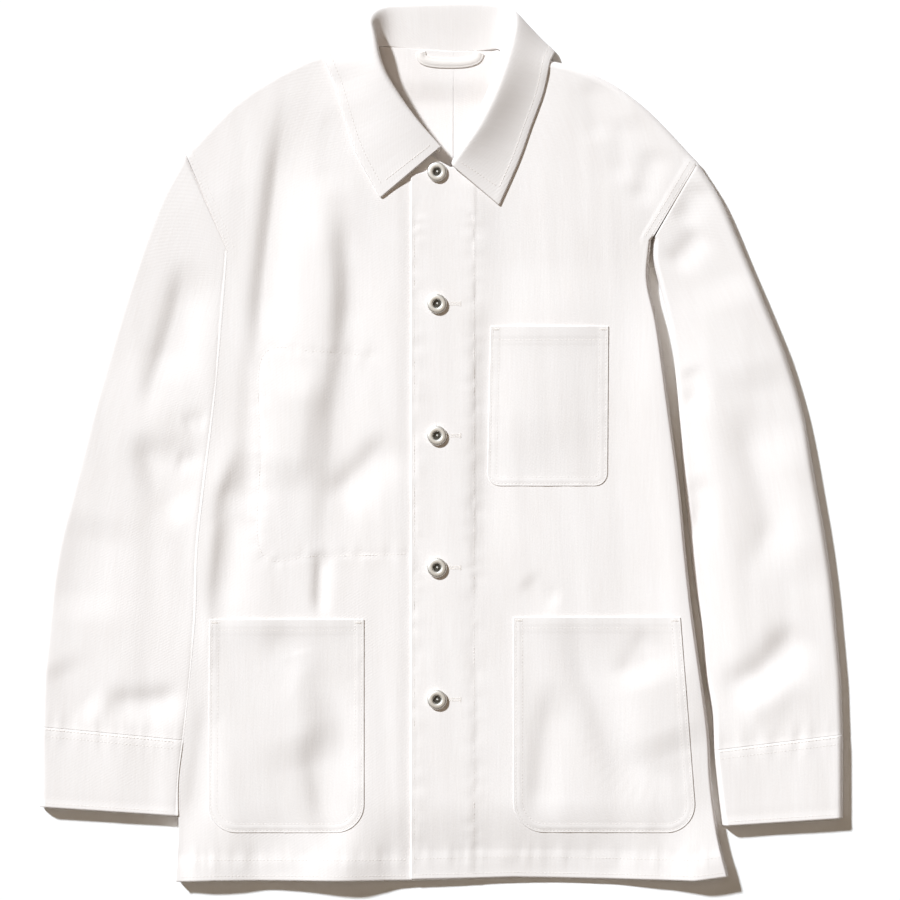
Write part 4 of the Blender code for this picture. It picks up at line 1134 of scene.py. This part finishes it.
def pocket_rise(x, y, corners, radius, mouth):
    """Thickness of a pocket over the front at each point: turned edges, turned mouth, stitch dips."""
    border = nearest(x, y, pocket_outline(corners, radius))[0]
    below = nearest(x, y, corners[:1:-1])[0]
    turned_edge = fade((border - POCKET_EDGE_STITCHES[1]) / POCKET_EASE)
    rise = POCKET_SEAT + POCKET_CLOTH + POCKET_TURNING * turned_edge
    rise = rise + MOUTH_TURNING * fade((below - mouth) / POCKET_EASE)
    dips = sum(bell(border - row, POCKET_DIP_WIDTH) for row in POCKET_EDGE_STITCHES)
    dips = dips + bell(below - mouth + MOUTH_STITCH, POCKET_DIP_WIDTH)
    wave = unevenness(x, y, *POCKET_LUMPS, SEEDS["pocket"]) * bell(border, POCKET_PUCKER_REACH)
    slack = MOUTH_SLACK * bell(below, MOUTH_SLACK_REACH) * smooth(border / MOUTH_SLACK_INSET)
    return rise - POCKET_DIP * dips + POCKET_PUCKER * wave + slack


def pocket_top(x, y, side, corners, radius, mouth):
    return FRONT_TOPS[side](x, y) + pocket_rise(x, y, corners, radius, mouth)


def pocket(name, node, side, corners, radius, mouth):
    plan = pocket_plan(corners, radius)
    outer = raised(plan, pocket_top(*xy(plan), side, corners, radius, mouth))
    inner = raised(plan, FRONT_TOPS[side](*xy(plan)) + POCKET_UNDERSIDE)
    return sewn_piece(name, node, outer, inner, (0.5, 0.5, 0.5, 0.5), POCKET_DENIM)


def collar_grid():
    """Middle face of the collar: for each station, from the neck seam over the roll to the edge."""
    stations = [[*neck, *roll, *edge, size] for neck, roll, edge, size in COLLAR_STATIONS]
    dense = polyline(np.array(stations, dtype=float), 24)
    for side, over in (("left", dense[:, 6] > BACK_SEAM_X), ("right", dense[:, 6] <= BACK_SEAM_X)):
        over = over & (dense[:, 8] > LEAF_ON_FRONT) & (dense[:, 7] < LEAF_TOP)
        x, y, z = dense[over, 6:9].T
        rest = np.minimum(z, FRONT_TOPS[side](x, y) + COLLAR_CLOTH / 2 + LEAF_REST)
        dense[over, 8] = z + (rest - z) * smooth((LEAF_TOP - y) / LEAF_EASE)
    lengths = run_lengths(dense[None, :, 3:6], 1)[0]
    at = np.linspace(0.0, lengths[-1], math.ceil(lengths[-1] / COLLAR_CELL) + 1)
    rows = []
    for station in points_at(dense, lengths, at):
        neck, roll, edge, size = station[0:3], station[3:6], station[6:9], station[9]
        turn = unit(edge - neck) * size
        reach = edge + FALL_REACH * (roll - edge) * np.array([1.0, 1.0, FALL_LEVEL])
        stand = bezier(neck, neck + STAND_LEAN * (roll - neck), roll - turn, roll, STAND_STEPS)
        rows.append(np.concatenate([stand, bezier(roll, roll + turn, reach, edge, FALL_STEPS)[1:]]))
    return np.array(rows)


def collar(middle):
    """The doubled collar, thinner along its topstitching and towards its edge."""
    from_edge = run_lengths(middle[:, ::-1], 1)[:, ::-1]
    from_stitch = from_edge - COLLAR_STITCH
    half = COLLAR_CLOTH / 2 - COLLAR_RELIEF * bell(from_stitch, COLLAR_DIP_WIDTH)
    thinning = EDGE_THINNING * bell(from_edge, EDGE_THINNING_WIDTH)
    half = half + COLLAR_RELIEF * fade(from_stitch / COLLAR_EASE) - thinning
    reach = grid_normals(middle) * half[..., None]
    faces = [middle + reach, middle - reach]
    for face in faces:
        face[..., 2] = np.maximum(face[..., 2], 0.0)
    return sewn_piece("collar_cloth", "collar", *faces, (0.9, 0.9, 0.5, 0.9), crosswise=True)


def hanger_loop():
    path = polyline(LOOP_PATH, 10)
    shares = np.linspace(0.5, -0.5, 11)
    plan = np.stack([path + plan_sides(path) * share * LOOP_WIDTH for share in shares], axis=1)
    low = back_bottom(*xy(plan), "left") + CLOTH + LOOP_SEAT
    dip = LOOP_DIP * bell(abs(shares) - LOOP_DIP_AT, LOOP_DIP_WIDTH)
    bulge = (LOOP_CROWN * np.cos(shares * math.pi) - dip)[None, :]
    over, under = raised(plan, low + LOOP_CLOTH + bulge), raised(plan, low)
    rims = (0.4, 0.4, 0.5, 0.5)
    return sewn_piece("hanger_loop_tape", "hanger_loop", over, under, rims, LOOP_TAPE, crosswise=True)


def circle(steps):
    angles = np.arange(steps) * 2 * math.pi / steps
    return np.column_stack([np.cos(angles), np.sin(angles)])


def lathed(name, profile, centre, material, nodes=()):
    """A round piece turned from a half section of (radius, height)."""
    profile = polyline(profile, 4)
    x, y, z = centre
    vertices = [(x, y, z + profile[0][1])]
    for radius, height in profile[1:-1]:
        vertices += [(x + radius * c, y + radius * s, z + height) for c, s in circle(BUTTON_SIDES)]
    vertices.append((x, y, z + profile[-1][1]))
    rings = len(profile) - 2
    faces = []
    for k in range(BUTTON_SIDES):
        after = (k + 1) % BUTTON_SIDES
        faces.append([0, 1 + k, 1 + after])
        for first in range(1, 1 + (rings - 1) * BUTTON_SIDES, BUTTON_SIDES):
            second = first + BUTTON_SIDES
            faces.append([first + k, second + k, second + after, first + after])
        last = 1 + (rings - 1) * BUTTON_SIDES
        faces.append([last + k, len(vertices) - 1, last + after])
    return new_piece(name, vertices, faces, material, nodes)


def button(number, centre_y):
    rim, tall = BUTTON_RADIUS, BUTTON_HEIGHT
    angles = np.linspace(0.0, 2 * math.pi, 24)
    reach = np.array([BUTTON_X, centre_y]) + np.column_stack([np.cos(angles), np.sin(angles)]) * rim
    seat = float(front_left_top(*xy(reach)).max()) + SEAM_GAP
    hollow_floor = seat + HOLLOW_FLOOR * tall
    ring = [(radius * rim, height * tall) for radius, height in BUTTON_RING]
    hollow = [(radius * rim, height) for radius, height in BUTTON_HOLLOW]
    pin_centre = (BUTTON_X + PIN_OFFSET[0], centre_y + PIN_OFFSET[1], hollow_floor + PIN_OFFSET[2])
    lathed(f"button_ring_{number}", ring, (BUTTON_X, centre_y, seat), NICKEL, [f"button_{number}"])
    lathed(f"button_hollow_{number}", hollow, (BUTTON_X, centre_y, hollow_floor), DARK_NICKEL)
    lathed(f"button_pin_{number}", BUTTON_PIN, pin_centre, NICKEL)


def stitch_ends(path):
    """Points where the stitches along a path start, and where they end."""
    run = run_lengths(path[None], 1)[0]
    starts = np.arange(STITCH_START, run[-1] - STITCH_LENGTH, STITCH_PITCH)
    return [points_at(path, run, at) for at in (starts, starts + STITCH_LENGTH)]


class Stitching:
    """Gathers stitches, each a small capsule of thread, and joins them into one piece."""

    def __init__(self, name):
        self.name = name
        self.ends = []

    def add(self, starts, ends, thick):
        self.ends.append((starts, ends, np.full(len(starts), thick)))

    def row(self, path, surface, *place, thick=THREAD):
        """Stitches along a path of (x, y), lying on the height that surface gives."""
        ends = stitch_ends(np.asarray(path, dtype=float))
        self.add(*[raised(points, surface(*xy(points), *place)) for points in ends], thick)

    def bars(self, x, y, across, surface, *place):
        """Short stitches centred on x and y, each lying along across."""
        centres = np.column_stack(np.broadcast_arrays(x, y))
        half = np.array(across) / 2
        ends = centres - half, centres + half
        self.add(*[raised(points, surface(*xy(points), *place)) for points in ends], BAR_THREAD)

    def join(self):
        starts, ends, thick = (np.concatenate(parts) for parts in zip(*self.ends))
        length = np.linalg.norm(ends - starts, axis=1, keepdims=True)
        along = (ends - starts) / length
        side = unit(np.cross(np.array([0.0, 0.0, 1.0]), along))
        up = np.cross(along, side)
        sides = STITCH_SIDES
        vertices = []
        for share, fat, lift in STITCH_RINGS:
            for k in range(sides):
                angle = 2 * math.pi * k / sides
                across = side * (math.cos(angle) * fat * thick / 2)[:, None]
                rise = up * ((math.sin(angle) * fat * STITCH_FLATNESS / 2 + lift) * thick)[:, None]
                vertices.append(starts + along * length * share + across + rise)
        per = len(vertices)
        vertices = np.stack(vertices, axis=1)
        last = per - sides
        faces = []
        for low in range(0, last, sides):
            for k in range(sides):
                after = (k + 1) % sides
                faces.append((low + k, low + after, low + sides + after, low + sides + k))
        bases = range(0, len(starts) * per, per)
        cells = (np.array(faces)[None] + np.array(bases)[:, None, None]).reshape(-1, 4).tolist()
        for base in bases:
            cells.append([base + k for k in range(sides)][::-1])
            cells.append([base + last + k for k in range(sides)])
        return new_piece(self.name, vertices.reshape(-1, 3), cells, THREAD_CREAM)


def inset(path, distance, centre):
    """The path moved by distance to the side on which centre lies."""
    path = np.asarray(path, dtype=float)
    side = plan_sides(path)
    sign = np.sign(((np.asarray(centre) - path) * side).sum(axis=1).mean())
    return path + side * sign * distance


def across_row(section, shift):
    """Points across a sleeve's row, moved towards the armhole by shift."""
    outer, inner = np.array(section, dtype=float)
    across = inner - outer
    along = unit(np.array([-across[1], across[0]]))
    along = along if along[1] > 0 else -along
    return outer + np.linspace(*CUFF_ROW_SHARES)[:, None] * across + along * shift


def sew_front(side):
    """Stitches of a front: hem, free edge, facing or inner pocket, armhole and buttonholes."""
    sewing = Stitching(f"{side}_front_stitches")
    surface = FRONT_TOPS[side]
    hem_x = np.linspace(*HEM_ROWS[side], 80)
    for up in (HEM_TURN - HEM_STITCH, HEM_EDGE_STITCH):
        sewing.row(np.column_stack([hem_x, hem_edge(hem_x, side) + up]), surface)
    seam_thread, armhole_thread = (FAINT_THREAD, THREAD) if side == "left" else (THREAD, FAINT_THREAD)
    for path in SEAM_ROWS[side]:
        sewing.row(polyline(path, 10), surface, thick=seam_thread)
    for distance in ARMHOLE_STITCHES:
        sewing.row(inset(ARMHOLES[side], distance, (0, 100)), surface, thick=armhole_thread)
    if side == "left":
        sew_buttonholes(sewing)
    return sewing.join()


def bars_about(middle, low, high, pitch):
    return np.arange(middle + low, middle + high, pitch)


def sew_buttonholes(sewing):
    """Worked buttonholes, their slits running from under the buttons towards the facing line."""
    for centre_y in BUTTON_Y[1:]:
        for offset in (BUTTONHOLE_HALF, -BUTTONHOLE_HALF):
            side_x = np.arange(*BUTTONHOLE_SIDE)
            sewing.bars(side_x, centre_y + offset, BUTTONHOLE_BARS[0], front_left_top)
        end_y = bars_about(centre_y, *BUTTONHOLE_END)
        sewing.bars(BUTTONHOLE_END_X, end_y, BUTTONHOLE_BARS[1], front_left_top)


def sew_pocket(name, _node, *place):
    """Two rows round a pocket, one along its mouth, and a bar tack at each end of the mouth."""
    _side, corners, radius, mouth = place
    sewing = Stitching(name.replace("_patch", "_stitches"))
    for distance in POCKET_EDGE_STITCHES:
        sewing.row(pocket_outline(corners, radius, distance), pocket_top, *place)
    top_right, top_left = np.array(corners[2:], dtype=float)
    across = top_left + np.linspace(*MOUTH_ROW_SHARES)[:, None] * (top_right - top_left)
    sewing.row(across - np.array([0.0, mouth - MOUTH_STITCH]), pocket_top, *place)
    for x in (top_left[0] + TACK_INSET, top_right[0] - TACK_INSET):
        sewing.bars(bars_about(x, *TACK), top_left[1] - TACK_DROP, TACK_BAR, pocket_top, *place)
    return sewing.join()


def sew_sleeve(side):
    """Two rows above the cuff's seam and two along its end."""
    sewing = Stitching(f"{side}_sleeve_stitches")
    for row, shift in CUFF_ROWS:
        sewing.row(across_row(CUFF_SECTIONS[side][row], shift), sleeve_top, side)
    return sewing.join()


def sew_collar(middle):
    """Topstitching round the collar's edge and ends, on its upper face."""
    reach = grid_normals(middle) * (COLLAR_CLOTH / 2 + THREAD_LIFT)
    upper, lower = middle + reach, middle - reach
    fall = upper if upper[:, LEAF_COLUMN, 2].mean() > lower[:, LEAF_COLUMN, 2].mean() else lower
    from_edge = run_lengths(fall[:, ::-1], 1)[:, ::-1]
    inward = zip(fall[:, ::-1], from_edge[:, ::-1])
    path = np.concatenate([points_at(row, run, [COLLAR_STITCH]) for row, run in inward])
    end_rows = math.ceil(COLLAR_STITCH / COLLAR_CELL)
    lines = [path[end_rows : len(path) - end_rows]]
    for row in (end_rows, len(fall) - 1 - end_rows):
        beyond_stand = np.arange(fall.shape[1]) > ROLL_COLUMN
        lines.append(fall[row][(from_edge[row] > COLLAR_STITCH) & beyond_stand])
    sewing = Stitching("collar_stitches")
    for line in lines:
        sewing.add(*stitch_ends(line), THREAD)
    return sewing.join()


def flat_size(width, length, share=1.0):
    """How a sheet was cut. share is the part of the box width by length that it fills."""
    return {"flat": (width * MM, length * MM), "area": width * length * MM * MM * share}


def lay_cloth():
    """Makes every sheet, with its stitching."""
    backs = {side: back_panel(side) for side in SIDES}
    fronts = {side: front_panel(side) for side in SIDES}
    sewing = {side: sew_front(side) for side in SIDES}
    for side, size in (("left", (285, 750, 0.77)), ("right", (262, 750, 0.82))):
        under, thread = [backs[side]], [sewing[side]]
    sewing = {side: sew_sleeve(side) for side in SIDES}
    for side, arm_size, cuff_size in (
        ("left", flat_size(128, 520, 0.86), flat_size(232, 70)),
        ("right", flat_size(136, 520, 0.86), flat_size(262, 68)),
    ):
        upper, under = sleeve(side)
        cuff(side)
    middle = collar_grid()
    roll, thread = collar(middle), [sew_collar(middle)]
    under = [fronts["left"], fronts["right"], backs["left"]]
    for place, thread in zip(POCKETS, [sew_pocket(*place) for place in POCKETS]):
        patch, under, corners = pocket(*place), [fronts[place[2]]], place[3]
    hanger_loop()


def floor():
    """Seamless white paper, matt."""
    mesh = bpy.data.meshes.new("floor")
    corners = [(x * FLOOR_REACH, y * FLOOR_REACH, 0) for x, y in ((-1, -1), (1, -1), (1, 1), (-1, 1))]
    mesh.from_pydata(corners, [], [(0, 1, 2, 3)])
    paper, tree, shader = new_material("white_paper")
    fibre = add_node(tree, "TexNoise", {"Scale": 300.0, "Detail": 2.0})
    set_inputs(tree, shader, {"Base Color": blend(tree, fibre, "#FFFFFF", "#FDFDFC"), "Roughness": 0.95})
    mesh.materials.append(paper)
    ground = put("floor", mesh)
    ground.location.z = -FLOOR_DROP * MM


def light():
    """A hard lamp at the upper left, a soft box overhead, and the warm room around them."""
    key = bpy.data.lights.new("key", "SUN")
    key.energy = KEY_STRENGTH
    key.angle = math.radians(KEY_SOFTNESS)
    key.color = linear(KEY_COLOUR)[:3]
    put("key", key).rotation_euler = (0.0, math.radians(90.0 - KEY_ELEVATION), math.radians(KEY_AZIMUTH))
    overhead = bpy.data.lights.new("overhead", "AREA")
    overhead.size = OVERHEAD_SIZE
    overhead.energy = OVERHEAD_POWER
    overhead.color = linear(OVERHEAD_COLOUR)[:3]
    put("overhead", overhead).location.z = OVERHEAD_HEIGHT
    world = bpy.data.worlds.new("studio")
    world.use_nodes = True
    sky = world.node_tree.nodes["Background"]
    set_inputs(world.node_tree, sky, {"Color": linear(FILL_COLOUR), "Strength": FILL_STRENGTH})
    bpy.context.scene.world = world
    bpy.context.scene.view_settings.view_transform = "Standard"


def camera():
    """Straight above the jacket, with a long lens."""
    data = bpy.data.cameras.new("camera")
    data.lens = LENS
    data.sensor_width = SENSOR
    data.clip_end = 100.0
    eye = put("camera", data)
    away = FRAME_WIDTH * LENS / SENSOR + PICTURE_HEIGHT
    eye.location = (PICTURE_CENTRE[0] * MM, PICTURE_CENTRE[1] * MM, away * MM)
    bpy.context.scene.camera = eye


camera()
light()
floor()
lay_cloth()
for number, centre_y in enumerate(BUTTON_Y, start=1):
    button(number, centre_y)
